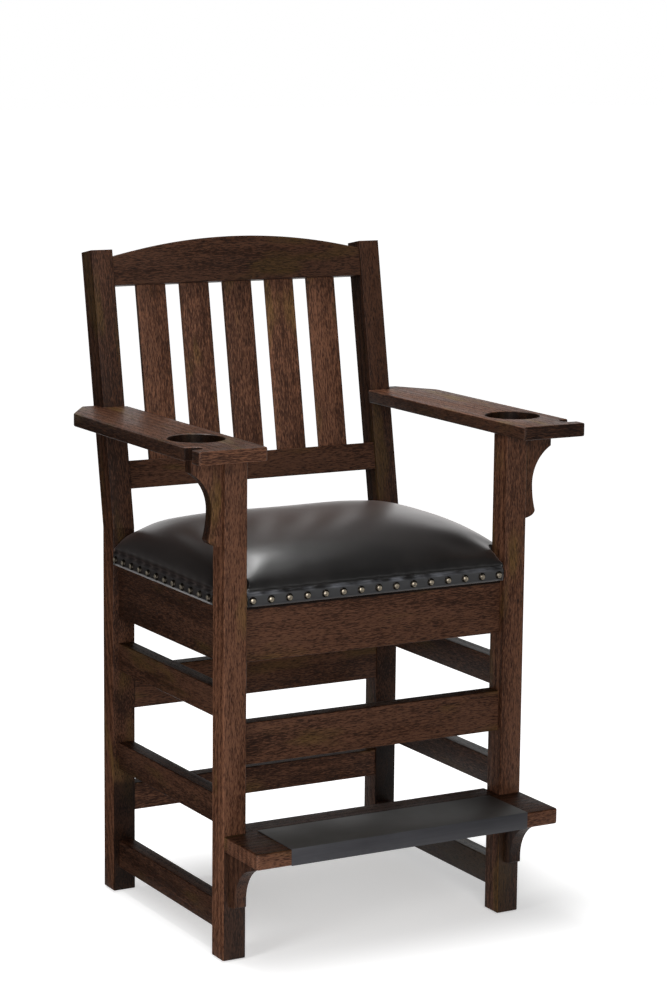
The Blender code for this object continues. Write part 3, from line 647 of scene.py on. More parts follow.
# Painted light and shade on the rear posts: the left faces painted lighter low down and darker towards the
# top, and the fronts of the upright part painted darker.
LEAN_PAINTED_SHADE = (0.55, 0.90, 1.0, 0.45)
LEAN_PAINTED_TONES = {"left": 1.05, "right": 0.55}
LEAN_GLOSS = 0.03
REAR_SHIN_PAINTED_TONES = {"left": 0.55, "right": 0.40}
REAR_SHIN_GLOSS = 0.1
post_front = corners("rear_post_left")[0].y
pivot = Vector((0.0, post_front, BEND_HEIGHT))
lean = Vector((0.0, math.sin(RAKE), math.cos(RAKE))) * RAKED_LENGTH
top_back = pivot + lean + Vector((0.0, math.cos(RAKE), -math.sin(RAKE))) * POST
leaning_half = BEND_HEIGHT + RAKED_LENGTH / 2


def rear_shin(spot, normal):
    """A test for the upright part of a rear post's front."""
    return to_front(spot, normal) and spot.z < BEND_HEIGHT


for side in SIDES:
    node = "rear_post_" + side
    low, high = corners(node)
    post = block(node + "_post", low, (high.x, post_front + POST, BEND_HEIGHT))
    for vert in post.data.vertices:
        if vert.co.z > BEND_HEIGHT / 2 and vert.co.y > post_front + POST / 2:
            vert.co.z -= POST * math.tan(RAKE / 2)
    pick_faces(post, lambda middle, normal: normal.z > MOSTLY)
    draw_out(lean)
    leave_edit()
    for vert in post.data.vertices:
        if vert.co.z > leaning_half and vert.co.y > top_back.y - POST / 2:
            vert.co.yz = top_back.yz
    pick_edges(post, lambda first, second: min(first.z, second.z) > leaning_half)
    round_picked(SOFT_EDGE)
    round_post(post, low.z)
    dress(post, LEANING_Z, node,
          areas=[area("lean", to_left, LEAN_PAINTED_TONES[side], LEAN_GLOSS, shade=LEAN_PAINTED_SHADE),
                 area("shin", rear_shin, REAR_SHIN_PAINTED_TONES[side], REAR_SHIN_GLOSS, shade=BELOW_FOOTREST_PAINTED_SHADE)])
print("post top:", tuple(round(part, 4) for part in top_back))

# %% [markdown]
# ## The leaning back
# Crest rail, lower rail and slats share one plane that leans with the posts. They are easiest to make upright
# and then tipped back together about the line where the posts bend.

# %% Slats and lower rail
BACK_RAIL = 0.038
LOWER_RAIL_RISE = 0.0705
LOWER_RAIL_HEIGHT = 0.052
CREST_RISE = 0.447
SLATS = 5
SLAT_THICKNESS = 0.010
SLAT_EDGE = 0.0016
inner_half = corners("front_leg_right")[0].x


def tip_back(piece):
    """Lean a piece back about the bend of the posts."""
    about = Matrix.Translation(pivot) @ Matrix.Rotation(-RAKE, 4, "X") @ Matrix.Translation(-pivot)
    piece.data.transform(about)


def upright_box(name, x_low, x_high, rise_low, rise_high, thickness):
    """A board centred in the depth of the posts, before it is tipped back."""
    middle = post_front + POST / 2
    return block(name, (x_low, middle - thickness / 2, BEND_HEIGHT + rise_low),
                 (x_high, middle + thickness / 2, BEND_HEIGHT + rise_high))


slat_rise = LOWER_RAIL_RISE + LOWER_RAIL_HEIGHT
lower_rail = upright_box("lower_back_rail_board", -inner_half, inner_half, LOWER_RAIL_RISE, slat_rise,
                         BACK_RAIL)
soften(lower_rail, X)
tip_back(lower_rail)
dress(lower_rail, LEANING_X, "lower_back_rail")
for number in range(1, SLATS + 1):
    node = "back_slat_%d" % number
    low, high = corners(node)
    slat = upright_box(node + "_board", low.x, high.x, slat_rise, CREST_RISE, SLAT_THICKNESS)
    soften(slat, Z, SLAT_EDGE)
    tip_back(slat)
    dress(slat, LEANING_Z, node)
print("slats made:", SLATS)

# %% [markdown]
# The crest rail is arched on top. Its long edges are cut into short pieces first, and the upper ones are then
# lifted onto one arc of a circle.

# %% Crest rail
CREST_END = 0.0535
CREST_ARCH = 0.0309
ARCH_CELLS = 48
ARCH_PIECE = 0.001
ARCH_SLOPE = 0.004
crest = upright_box("crest_rail_board", -inner_half, inner_half, CREST_RISE, CREST_RISE + CREST_END,
                    BACK_RAIL)
pick_edges(crest, long_edges(X))
bpy.ops.mesh.subdivide(number_cuts=ARCH_CELLS - 1)
leave_edit()
arch_radius = (inner_half ** 2 + CREST_ARCH ** 2) / (2 * CREST_ARCH)
crest_middle = BEND_HEIGHT + CREST_RISE + CREST_END / 2
for vert in crest.data.vertices:
    if vert.co.z > crest_middle:
        vert.co.z += CREST_ARCH - arch_radius + math.sqrt(arch_radius ** 2 - vert.co.x ** 2)


def crest_long_edge(first, second):
    """A test for the pieces of the crest's long edges."""
    apart = first - second
    return abs(apart.x) > ARCH_PIECE and abs(apart.y) < NEAR and abs(apart.z) < ARCH_SLOPE


pick_edges(crest, crest_long_edge)
round_picked(SOFT_EDGE)
smooth(crest)
tip_back(crest)
dress(crest, LEANING_X, "crest_rail")
print("crest top:", round(max(vert.co.z for vert in crest.data.vertices), 4))

# %% [markdown]
# ## Broad arms
# Each arm is a thick board with a cup recess bored into it, a notch for a cue sawn into its outer edge and
# its outer rear corner clipped. Sawing and boring are cuts, so they are made with simple shapes taken away
# from a block. One bevel rounds every sharp edge of the outline. The cup comes after it, because its cutter
# already has a flared mouth and a cove, as a router bit has.

# %% Tools for the arms
CUP_RADIUS = 0.050
CUP_DEPTH = 0.016
CUP_SETBACK = 0.140
ARM_EDGE = 0.0026
EDGE_STEPS = 4
HAIR_GAP = 0.0004
SPARE = 0.02
POST_ROOM_DEPTH = 0.12
POST_ROOM_FOOT = 0.80
POST_ROOM_TOP = 1.0
CUE_RADIUS = 0.014
CUE_DEPTH = 0.026
CUE_SETBACK = 0.042
CUE_SIDES = 48
CUE_ROOM_HEIGHT = 0.06


def cup_cutter(centre, top):
    """The room of a cup: a cove round its floor, and a mouth that flares out by a quarter round."""
    depth = CUP_DEPTH - ARM_EDGE
    piece = rod("cup_room", (centre.x, centre.y, top - CUP_DEPTH + depth / 2), CUP_RADIUS, depth)
    pick_edges(piece, lambda first, second: max(first.z, second.z) < top - CUP_DEPTH + NEAR)
    round_picked(ARM_EDGE, EDGE_STEPS)
    pick_faces(piece, lambda middle, normal: normal.z > MOSTLY)
    radius, height = CUP_RADIUS, 0.0
    for step in range(1, EDGE_STEPS + 1):
        bend = QUARTER_TURN * step / EDGE_STEPS
        wider = CUP_RADIUS + ARM_EDGE * (1 - math.cos(bend))
        rise = ARM_EDGE * math.sin(bend) - height
        draw_out((0.0, 0.0, rise))
        bpy.ops.transform.resize(value=(wider / radius, wider / radius, 1.0),
                                 center_override=(centre.x, centre.y, top))
        radius, height = wider, height + rise
    draw_out((0.0, 0.0, CUP_DEPTH))
    leave_edit()
    return piece


def post_cutter(inner, sign, leg):
    """Room for the leaning rear post, which reaches as far out as the front leg."""
    reach = max(abs(corner.x) for corner in leg) + HAIR_GAP
    x_low, x_high = sorted((sign * (abs(inner) - SPARE), sign * reach))
    piece = block("post_room", (x_low, post_front - HAIR_GAP, POST_ROOM_FOOT),
                  (x_high, post_front + POST_ROOM_DEPTH, POST_ROOM_TOP))
    tip_back(piece)
    return piece


def cue_cutter(centre, sign):
    """Room for a cue: a rod stretched outwards past the edge of the arm."""
    piece = rod("cue_room", centre, CUE_RADIUS, CUE_ROOM_HEIGHT, CUE_SIDES)
    for vert in piece.data.vertices:
        if sign * (vert.co.x - centre.x) > NEAR:
            vert.co.x += sign * CUE_DEPTH
    return piece


# %% [markdown]
# The tops of the arms are painted paler than their sides, as painted light from above, and carry the most
# olive. Their rims shine, the hollows are painted dark as painted shade, the left arm's front end is painted
# lighter, and the rim of each notch is painted bright as a painted glint.

# %% Arms
ARM_CLIP_ACROSS = 0.051
ARM_CLIP_ALONG = 0.076
ARM_CORNER = 0.006
ARM_SMOOTH_BELOW = 32
CORNER_STEPS = 5
CUE_MOUTH = 0.003
SAME_EDGE = 0.0001
MOUTH_SLACK = 0.0004
SAME_SPOT = 0.00002
END_ZONE = 0.01
ARM_BLUSH = 0.9
# The tops and rims of the arms are painted paler than their sides: painted light from above.
ARM_TOP_PAINTED_TONES = {"left": 0.9, "right": 1.55}
# The left arm's front end is painted lighter: painted light from the front left.
END_PAINTED_TONES = {"left": 1.3, "right": 0.48}
# The walls of the cup and the cue notch are painted dark: painted shade in the hollows.
HOLLOW_PAINTED_SHADE = 0.25
# The rim round each cue notch is painted bright: a painted glint.
PAINTED_GLINT_TONE = 1.8
TOP_GLOSS = 0.06
RIM_GLOSS = 0.5
HOLLOW_GLOSS = 0.1
HOLLOW_MARGIN = 0.0008
HOLLOW_BELOW = 0.001
PAINTED_GLINT_REACH = 0.022
FLAT = 0.95
RIM_FROM = 0.2


def arm_areas(side, low, high, cup, cue_y, outer):
    """The faces of an arm with a finish of their own."""
    def rim(spot, normal):
        return RIM_FROM < normal.z < FLAT

    # Faces that get painted shade inside the cup and the notch.
    def hollow(spot, normal):
        in_cup = (spot - cup).xy.length < CUP_RADIUS + HOLLOW_MARGIN
        in_notch = (abs(spot.y - cue_y) < CUE_RADIUS + HOLLOW_MARGIN
                    and abs(spot.x - outer) < CUE_DEPTH + HOLLOW_MARGIN)
        return normal.z > -FACING and spot.z < high.z - HOLLOW_BELOW and (in_cup or in_notch)

    # Rim faces near the notch that get a painted glint.
    def painted_glint(spot, normal):
        return rim(spot, normal) and max(abs(spot.y - cue_y), abs(spot.x - outer)) < PAINTED_GLINT_REACH

    def end(spot, normal):
        return to_front(spot, normal) and spot.y < low.y + END_ZONE

    return [area("top", lambda spot, normal: normal.z >= FLAT, ARM_TOP_PAINTED_TONES[side], TOP_GLOSS, ARM_BLUSH),
            area("rim", rim, ARM_TOP_PAINTED_TONES[side], RIM_GLOSS, ARM_BLUSH),
            area("end", end, END_PAINTED_TONES[side], grain=ALONG_X),
            area("hollow", hollow, HOLLOW_PAINTED_SHADE, HOLLOW_GLOSS),
            area("painted_glint", painted_glint, PAINTED_GLINT_TONE, RIM_GLOSS)]


def arm(side, sign):
    """One arm, cut out of a block."""
    node = "arm_" + side
    low, high = corners(node)
    outer, inner = (high.x, low.x) if sign > 0 else (low.x, high.x)
    piece = block(node + "_board", low, high)
    pick_all(piece)
    clip_faces = Vector((sign * ARM_CLIP_ALONG, ARM_CLIP_ACROSS, 0.0)).normalized()
    bpy.ops.mesh.bisect(plane_co=(outer, high.y - ARM_CLIP_ALONG, 0.0), plane_no=clip_faces, use_fill=True,
                        clear_outer=True)
    leave_edit()
    pick_edges(piece, lambda first, second: upright_edge(first, second) and first.y < high.y - END_ZONE)
    round_picked(ARM_CORNER, CORNER_STEPS)
    carve(piece, post_cutter(inner, sign, corners("front_leg_" + side)))
    cue_y = low.y + CUE_SETBACK
    cue_x = outer - sign * (CUE_DEPTH - CUE_RADIUS)
    carve(piece, cue_cutter(Vector((cue_x, cue_y, (low.z + high.z) / 2)), sign))
    pick_edges(piece, lambda first, second: upright_edge(first, second) and abs(first.x - outer) < SAME_EDGE
               and abs(abs(first.y - cue_y) - CUE_RADIUS) < MOUTH_SLACK)
    round_picked(CUE_MOUTH, EDGE_STEPS)
    round_sharp(piece, ARM_EDGE, EDGE_STEPS, miter_outer="MITER_ARC", loop_slide=False)
    cup = Vector(((low.x + high.x) / 2, low.y + CUP_SETBACK, 0.0))
    carve(piece, cup_cutter(cup, high.z))
    pick_all(piece)
    bpy.ops.mesh.remove_doubles(threshold=SAME_SPOT)
    leave_edit()
    smooth(piece, ARM_SMOOTH_BELOW)
    dress(piece, ALONG_Y, node, areas=arm_areas(side, low, high, cup, cue_y, outer))
    print(piece.name, "faces:", len(piece.data.polygons))


for side, sign in SIDES.items():
    arm(side, sign)

# %% [markdown]
# ## Cup pads
# A disc of dark felt lies in each recess, so that a glass doesn't slide or ring. A cylinder with a rounded
# rim is all it takes.

# %% Pads
PAD_THICKNESS = 0.0015
PAD_PLAY = 0.0006
PAD_EDGE = 0.0005
FELT_DARK = (0.006, 0.007, 0.006)
FELT_LIGHT = (0.022, 0.024, 0.020)


def make_felt():
    """Dark grey-green felt."""
    material, tree, place = new_finish("dark_felt")
    fibre = noise(tree, place, 1400.0, detail=3.0, roughness=0.7)
    set_shader(tree, {"Base Color": mix_colour(tree, fibre, FELT_DARK, FELT_LIGHT), "Roughness": 0.95,
                      "Specular IOR Level": 0.1})
    return material


felt = make_felt()
for side in SIDES:
    low, high = corners("arm_" + side)
    centre = Vector(((low.x + high.x) / 2, low.y + CUP_SETBACK, high.z - CUP_DEPTH + PAD_THICKNESS / 2))
    pad = rod("cup_pad_" + side, centre, CUP_RADIUS - PAD_PLAY, PAD_THICKNESS)
    pick_edges(pad, lambda first, second: min(first.z, second.z) > centre.z)
    round_picked(PAD_EDGE, segments=2)
    smooth(pad)
    paint(pad, felt)
    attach(pad, "chair_frame")
print("pads lie at height", round(centre.z, 4))

# %% [markdown]
# ## Scrolled brackets
# Four small brackets share one idea: a lip at the top, a hollow that sweeps in to a waist, and a rounded toe.
# Drawn as a flat outline from two tangent arcs and a quarter round, then given thickness with soft edges,
# they come out like pieces cut on a band saw. A curve does that better than pushing a cube about.

# %% The outline of a bracket
ARC_STEPS = 26
CORBEL = {"height": 0.155, "lip_out": 0.058, "lip_height": 0.025, "waist_out": 0.0193, "waist_drop": 0.092,
          "toe_out": 0.0262, "toe_drop": 0.141}
BRACKET = {"height": 0.1005, "lip_out": 0.080, "lip_height": 0.014, "waist_out": 0.0225, "waist_drop": 0.086,
           "toe_out": 0.0227, "toe_drop": 0.0955}


def scroll_outline(height, lip_out, lip_height, waist_out, waist_drop, toe_out, toe_drop):
    """Side view of a bracket: x out from the leg, y down from the board that it carries."""
    rise, reach = waist_drop - lip_height, lip_out - waist_out
    upper = (rise ** 2 + reach ** 2) / (2 * reach)
    fall, swell = toe_drop - waist_drop, toe_out - waist_out
    lower = (fall ** 2 + swell ** 2) / (2 * swell)
    short_steps = ARC_STEPS // 2
    points = [(0.0, 0.0), (lip_out, 0.0)]
    for step in range(ARC_STEPS + 1):
        up = rise * math.cos(QUARTER_TURN * step / ARC_STEPS)
        points.append((waist_out + upper - math.sqrt(upper ** 2 - up ** 2), up - waist_drop))
    for step in range(1, short_steps + 1):
        down = fall * step / short_steps
        points.append((waist_out + lower - math.sqrt(lower ** 2 - down ** 2), -waist_drop - down))
    for step in range(1, short_steps + 1):
        bend = QUARTER_TURN * step / short_steps
        points.append((toe_out * math.cos(bend), -toe_drop - (height - toe_drop) * math.sin(bend)))
    return points


print("points round a corbel:", len(scroll_outline(**CORBEL)))

# %% Brackets
BRACKET_THICKNESS = 0.022
BRACKET_EDGE = 0.0018
LIP_ROUNDING = 0.0045
LIP_STEPS = 5
LIP_SLACK = 0.0005
STRAIGHT = math.radians(0.4)
BRACKET_SMOOTH_BELOW = 40
SCROLL_TONES = {"left": 0.35, "right": 0.85}
SCROLL_GLOSS = 0.04
SCROLL_FACING = 0.4


def scrolled(spot, normal):
    """A test for the sawn edge of a corbel."""
    return abs(normal.x) > SCROLL_FACING


def band_sawn(name, sizes, hand, turn, place):
    """A bracket cut from a flat outline, its lip and rims rounded, turned and set in place."""
    curve = bpy.data.curves.new(name, "CURVE")
    curve.dimensions = "2D"
    curve.fill_mode = "BOTH"
    curve.extrude = BRACKET_THICKNESS / 2
    spline = curve.splines.new("POLY")
    points = scroll_outline(**sizes)
    spline.points.add(len(points) - 1)
    for point, (out, down) in zip(spline.points, points):
        point.co = (hand * out, down, 0.0, 1.0)
    spline.use_cyclic_u = True
    piece = bpy.data.objects.new(name, curve)
    bpy.context.scene.collection.objects.link(piece)
    alone(piece)
    bpy.ops.object.convert(target="MESH")
    piece = bpy.context.object
    pick_all(piece)
    bpy.ops.mesh.remove_doubles(threshold=NEAR)
    bpy.ops.mesh.normals_make_consistent(inside=False)
    bpy.ops.mesh.dissolve_limited(angle_limit=STRAIGHT)
    leave_edit()
    lip = Vector((hand * sizes["lip_out"], -sizes["lip_height"], 0.0))
    pick_edges(piece, lambda first, second: (first + second - 2 * lip).length < LIP_SLACK)
    round_picked(LIP_ROUNDING, LIP_STEPS)
    pick_edges(piece, lambda first, second: abs(first.z - second.z) < NEAR)
    round_picked(BRACKET_EDGE)
    piece.rotation_euler = turn
    piece.location = place
    settle(piece)
    smooth(piece, BRACKET_SMOOTH_BELOW)
    return piece


for side, sign in SIDES.items():
    leg_low, leg_high = corners("front_leg_" + side)
    leg_face = leg_low.x if sign < 0 else leg_high.x
    leg_middle = (leg_low + leg_high) / 2
    node = "arm_corbel_" + side
    corbel = band_sawn(node + "_bracket", CORBEL, sign, (QUARTER_TURN, 0.0, 0.0),
                       (leg_face, leg_middle.y, corners(node)[1].z))
    dress(corbel, ALONG_Z, node, areas=[area("scroll", scrolled, SCROLL_TONES[side], SCROLL_GLOSS)])
    node = "footrest_bracket_" + side
    bracket = band_sawn(node + "_bracket", BRACKET, 1, (QUARTER_TURN, 0.0, -QUARTER_TURN),
                        (leg_middle.x, leg_low.y, corners(node)[1].z))
    dress(bracket, ALONG_Z, node)
    print(corbel.name, "faces:", len(corbel.data.polygons))

# %% [markdown]
# ## Footrest
# A thick board is notched round the two front legs. A thin dark metal plate, which comes later, is folded
# over its top and front so that shoes don't wear the wood.

# %% Footrest board
FOOTREST_CORNER = 0.006
FOOTREST_EDGE = 0.0032
# The top of the footrest is painted darker than its front: painted shade from the arms and seat above.
FOOTREST_TOP_PAINTED_SHADE = 0.55
FOOTREST_TOP_GLOSS = 0.03
low, high = corners("footrest_board")
footrest = block("footrest_board_plank", low, high)
pick_edges(footrest, lambda first, second: upright_edge(first, second) and first.y < low.y + NEAR)
round_picked(FOOTREST_CORNER, CORNER_STEPS)
for side, sign in SIDES.items():
    leg_low, leg_high = corners("front_leg_" + side)
    room_low = leg_low - Vector((HAIR_GAP, HAIR_GAP, 0.0))
    room_high = leg_high + Vector((HAIR_GAP, SPARE, 0.0))
    room_low.z, room_high.z = low.z - SPARE, high.z + SPARE
    outermost = room_low if sign < 0 else room_high
    outermost.x += sign * SPARE
    carve(footrest, block("leg_room", room_low, room_high))
round_sharp(footrest, FOOTREST_EDGE, segments=4)
smooth(footrest)
dress(footrest, ALONG_X, "footrest_board", areas=[area("top", to_top, FOOTREST_TOP_PAINTED_SHADE, FOOTREST_TOP_GLOSS)])
print("footrest faces:", len(footrest.data.polygons))

# %% [markdown]
# ## Black leather seat
# The seat is foam on a board with one hide pulled over it. The hide is tacked to the edge of the board with a
# row of nails, so it has a flat band at the bottom, a crease above the nails and small puckers between them.
# A grid takes the crowned shape from a formula that is fuller at the rear than at the front. Its corners are
# notched round the legs, and its lines lie closer together towards the rim.

# %% Seat sizes
BAND = 0.0225
CROWN = 0.0783
CROWN_POWER_ACROSS = 5.5
CROWN_POWER_FRONT = 2.3
CROWN_POWER_REAR = 3.0
CROWN_FULLNESS = 0.50
RIM_RISE = 0.004
LEG_CLEAR = 0.0006
TUCK_DEPTH = 0.0045
TUCK_REACH = 0.006
LEDGE = 0.0032
DIMPLE = 0.0022
DIMPLE_REACH = 0.009
NAIL_LINE = 0.0115
FRONT_NAILS = 15
SIDE_NAILS = 12
FRONT_NAIL_PITCH = 0.0358
SIDE_NAIL_PITCH = 0.0343
NAIL_SHIFT = 0.0008
PULL_ZONE = 0.03
GRID_CELLS_X = 132
GRID_CELLS_Y = 112
NOTCH_CELLS = 22
seat_low, seat_high = corners("seat_cushion")
seat_half = (seat_high - seat_low) / 2
seat_middle_y = (seat_high.y + seat_low.y) / 2
crease = seat_low.z + BAND
notch_half = Vector((inner_half - LEG_CLEAR, seat_half.y - POST - LEG_CLEAR, 0.0))


def notch_share(cells):
    """The share of a half grid that lies inside the notches."""
    return 1 - 2 * NOTCH_CELLS / cells


def grid_line(share, half, notch, cells):
    """Where a grid line lies: one line on the notch, closer lines towards the rim."""
    inner_share = notch_share(cells)
    notch_turn = math.asin(notch / half) / QUARTER_TURN
    reach = abs(share)
    if reach <= inner_share:
        bend = reach / inner_share * notch_turn
    else:
        bend = notch_turn + (reach - inner_share) / (1 - inner_share) * (1 - notch_turn)
    return math.copysign(math.sin(bend * QUARTER_TURN), share)


def crown_height(u, v):
    """Height of the crown over the crease."""
    power = CROWN_POWER_REAR if v > 0 else CROWN_POWER_FRONT
    swell = max(0.0, (1 - abs(u) ** CROWN_POWER_ACROSS) * (1 - abs(v) ** power))
    return CROWN * swell ** CROWN_FULLNESS


def tuck(x, y):
    """How far the hide dips where it is tucked in beside a leg."""
    gap = math.hypot(max(0.0, notch_half.x - abs(x)), max(0.0, notch_half.y - abs(y)))
    return TUCK_DEPTH * math.exp(-gap / TUCK_REACH)


def pull_of_nails(x, y):
    """1 at a nail and 0 midway between two nails, along the front and the sides."""
    if abs(y) < notch_half.y and abs(x) > notch_half.x - PULL_ZONE:
        return 0.5 - 0.5 * math.cos(2 * math.pi * (y - NAIL_SHIFT) / SIDE_NAIL_PITCH)
    if abs(x) < notch_half.x and y < PULL_ZONE - notch_half.y:
        return 0.5 + 0.5 * math.cos(2 * math.pi * (x + NAIL_SHIFT) / FRONT_NAIL_PITCH)
    return 0.0


# %% Lay the hide
cushion = primitive("seat_leather", bpy.ops.mesh.primitive_grid_add, x_subdivisions=GRID_CELLS_X,
                    y_subdivisions=GRID_CELLS_Y, size=2.0)
share_x, share_y = notch_share(GRID_CELLS_X), notch_share(GRID_CELLS_Y)
pick_faces(cushion, lambda middle, normal: abs(middle.x) > share_x and abs(middle.y) > share_y)
bpy.ops.mesh.delete(type="FACE")
leave_edit()
for vert in cushion.data.vertices:
    u = grid_line(vert.co.x, seat_half.x, notch_half.x, GRID_CELLS_X)
    v = grid_line(vert.co.y, seat_half.y, notch_half.y, GRID_CELLS_Y)
    x, y = u * seat_half.x, v * seat_half.y
    height = crease + RIM_RISE + crown_height(u, v) * (1 - RIM_RISE / CROWN)
    height = max(crease + RIM_RISE, height - tuck(x, y))
    dimple = (LEDGE + DIMPLE * pull_of_nails(x, y)) * math.exp(-(height - crease) / DIMPLE_REACH)
    if abs(x) > notch_half.x:
        x -= math.copysign(1.0, x) * dimple
    elif y < -notch_half.y:
        y += dimple
    vert.co = (x, y, height)
print("hide points:", len(cushion.data.vertices))

# %% [markdown]
# Foam presses outwards and the hide holds it back. Cloth simulation finds the balance: the rim near the nails
# is pinned, there is no gravity, and a little pressure fills the rest. What a point may move is capped, so
# that the seat keeps its size, and the top is smoothed afterwards.

# %% Stuff the seat
CLOTH_FRAMES = 20
PRESSURE = 4.0
STIFFNESS = 20.0
SWELL_CAP = 0.005
HELD_BELOW = 0.008
FREE_ABOVE = 0.026
SMOOTH_ABOVE = 0.012
SMOOTH_TIMES = 40
SMOOTH_FACTOR = 0.5


def stuff(piece):
    """Blow a hide up a little, with its rim held."""
    before = [vert.co.copy() for vert in piece.data.vertices]
    tacked = piece.vertex_groups.new(name="tacked")
    for vert in piece.data.vertices:
        free = (vert.co.z - crease - HELD_BELOW) / (FREE_ABOVE - HELD_BELOW)
        tacked.add([vert.index], max(0.0, min(1.0, 1.0 - free)), "REPLACE")
    cloth = piece.modifiers.new("cloth", "CLOTH")
    cloth.settings.vertex_group_mass = "tacked"
    cloth.settings.use_pressure = True
    cloth.settings.uniform_pressure_force = PRESSURE
    cloth.settings.effector_weights.gravity = 0.0
    cloth.settings.bending_stiffness = STIFFNESS
    cloth.collision_settings.use_collision = False
    scene = bpy.context.scene
    for number in range(1, CLOTH_FRAMES + 1):
        scene.frame_set(number)
    alone(piece)
    bpy.ops.object.modifier_apply(modifier=cloth.name)
    scene.frame_set(1)
    piece.vertex_groups.clear()
    moved = []
    for vert, start in zip(piece.data.vertices, before):
        step = vert.co - start
        moved.append(step.length)
        if step.length > SWELL_CAP:
            vert.co = start + step.normalized() * SWELL_CAP
    pick_faces(piece, lambda middle, normal: middle.z > crease + SMOOTH_ABOVE)
    bpy.ops.mesh.vertices_smooth(factor=SMOOTH_FACTOR, repeat=SMOOTH_TIMES)
    leave_edit()
    return max(moved)


print("hide moved at most", round(stuff(cushion), 4))

# %% [markdown]
# Below the crown the hide dips into a crease and comes out again over the edge of the board, where the nails
# hold it. Each ring is the open rim, drawn on and set a little lower. Near the crease a ring is pulled in and
# down at each nail.

# %% Draw the rim down
RINGS = ((0.0026, -0.0028), (0.0012, -0.0024), (0.0004, -0.0018), (-0.0004, -0.0010), (-0.0014, -0.0003),
         (-0.0028, 0.0), (-0.0060, 0.0001), (-0.0165, 0.0002), (-0.0212, 0.0), (-BAND + 0.0004, -0.0012),
         (-BAND + 0.0010, -0.0080))
PULLED_ABOVE = -0.004
FULLY_ABOVE = 0.001
LESSER_PULL = 0.3
NAIL_DIP = 0.0016
NOTCH_SLACK = 0.004
for rise, out in RINGS:
    pick_open_rim(cushion)
    bpy.ops.mesh.extrude_region_move()
    leave_edit()
    for vert in (vert for vert in cushion.data.vertices if vert.select):
        x, y = vert.co.x, vert.co.y
        bulge, lift = out, rise
        if rise > PULLED_ABOVE:
            pull = pull_of_nails(x, y)
            bulge -= DIMPLE * pull * (1.0 if rise > FULLY_ABOVE else LESSER_PULL)
            lift -= NAIL_DIP * (pull - 0.5)
        if abs(x) > notch_half.x + NOTCH_SLACK:
            x = math.copysign(seat_half.x + bulge, x)
        if abs(y) > notch_half.y + NOTCH_SLACK:
            y = math.copysign(seat_half.y + bulge, y)
        vert.co = (x, y, crease + lift)
pick_open_rim(cushion)
bpy.ops.mesh.edge_face_add()
bpy.ops.mesh.select_all(action="SELECT")
bpy.ops.mesh.normals_make_consistent(inside=False)
leave_edit()
cushion.location = (0.0, seat_middle_y, 0.0)
settle(cushion)
bpy.ops.object.shade_smooth()
print("leather crown:", round(max(vert.co.z for vert in cushion.data.vertices), 4))

# %% [markdown]
# ## Leather finish
# Corrected hide is nearly black with a soft sheen, and fine pebbles close up. It is polished where people sit
# and duller towards the sides. The tacked band is painted grey on the front as a painted sheen, with a
# painted shadow line along its bottom, and dark on the sides, with a painted highlight along their lower
# edge. Above the front nails the ledge gets painted highlights in places.

# %% Leather material
# The grey of the front band is a painted sheen, the pale colour along the lower edge of the sides a painted
# highlight, the dark colour along the bottom of the front band a painted shadow line, and the pale ledge
# colour painted highlights.
HIDE = {"dark": (0.0025, 0.0021, 0.0019), "light": (0.006, 0.0049, 0.0044),
        "front band sheen": (0.026, 0.026, 0.0278), "side band": (0.006, 0.006, 0.0063), "painted_hem_highlight": (0.20, 0.20, 0.205),
        "turned": (0.006, 0.006, 0.0065), "painted_ledge_sheen": (0.12, 0.125, 0.14), "sheen": (1.0, 0.72, 0.66)}
SIDE_FADE = (-0.008, -0.004)
POLISH_FADE = (-0.050, -0.010)
POLISH = (1.0, 0.2)
BAND_FADE = (-0.003, 0.002)
LEDGE_SHEEN_FROM = (-0.004, -0.001)
LEDGE_SHEEN_TO = (0.001, 0.006)
HEM_FADE = (0.003, 0.006)
SHADOW_LINE_FADE = (0.001, 0.003)
FALLING = (1.0, 0.0)
FOLD_STRETCH = (1.0, 1.0, 1.6)


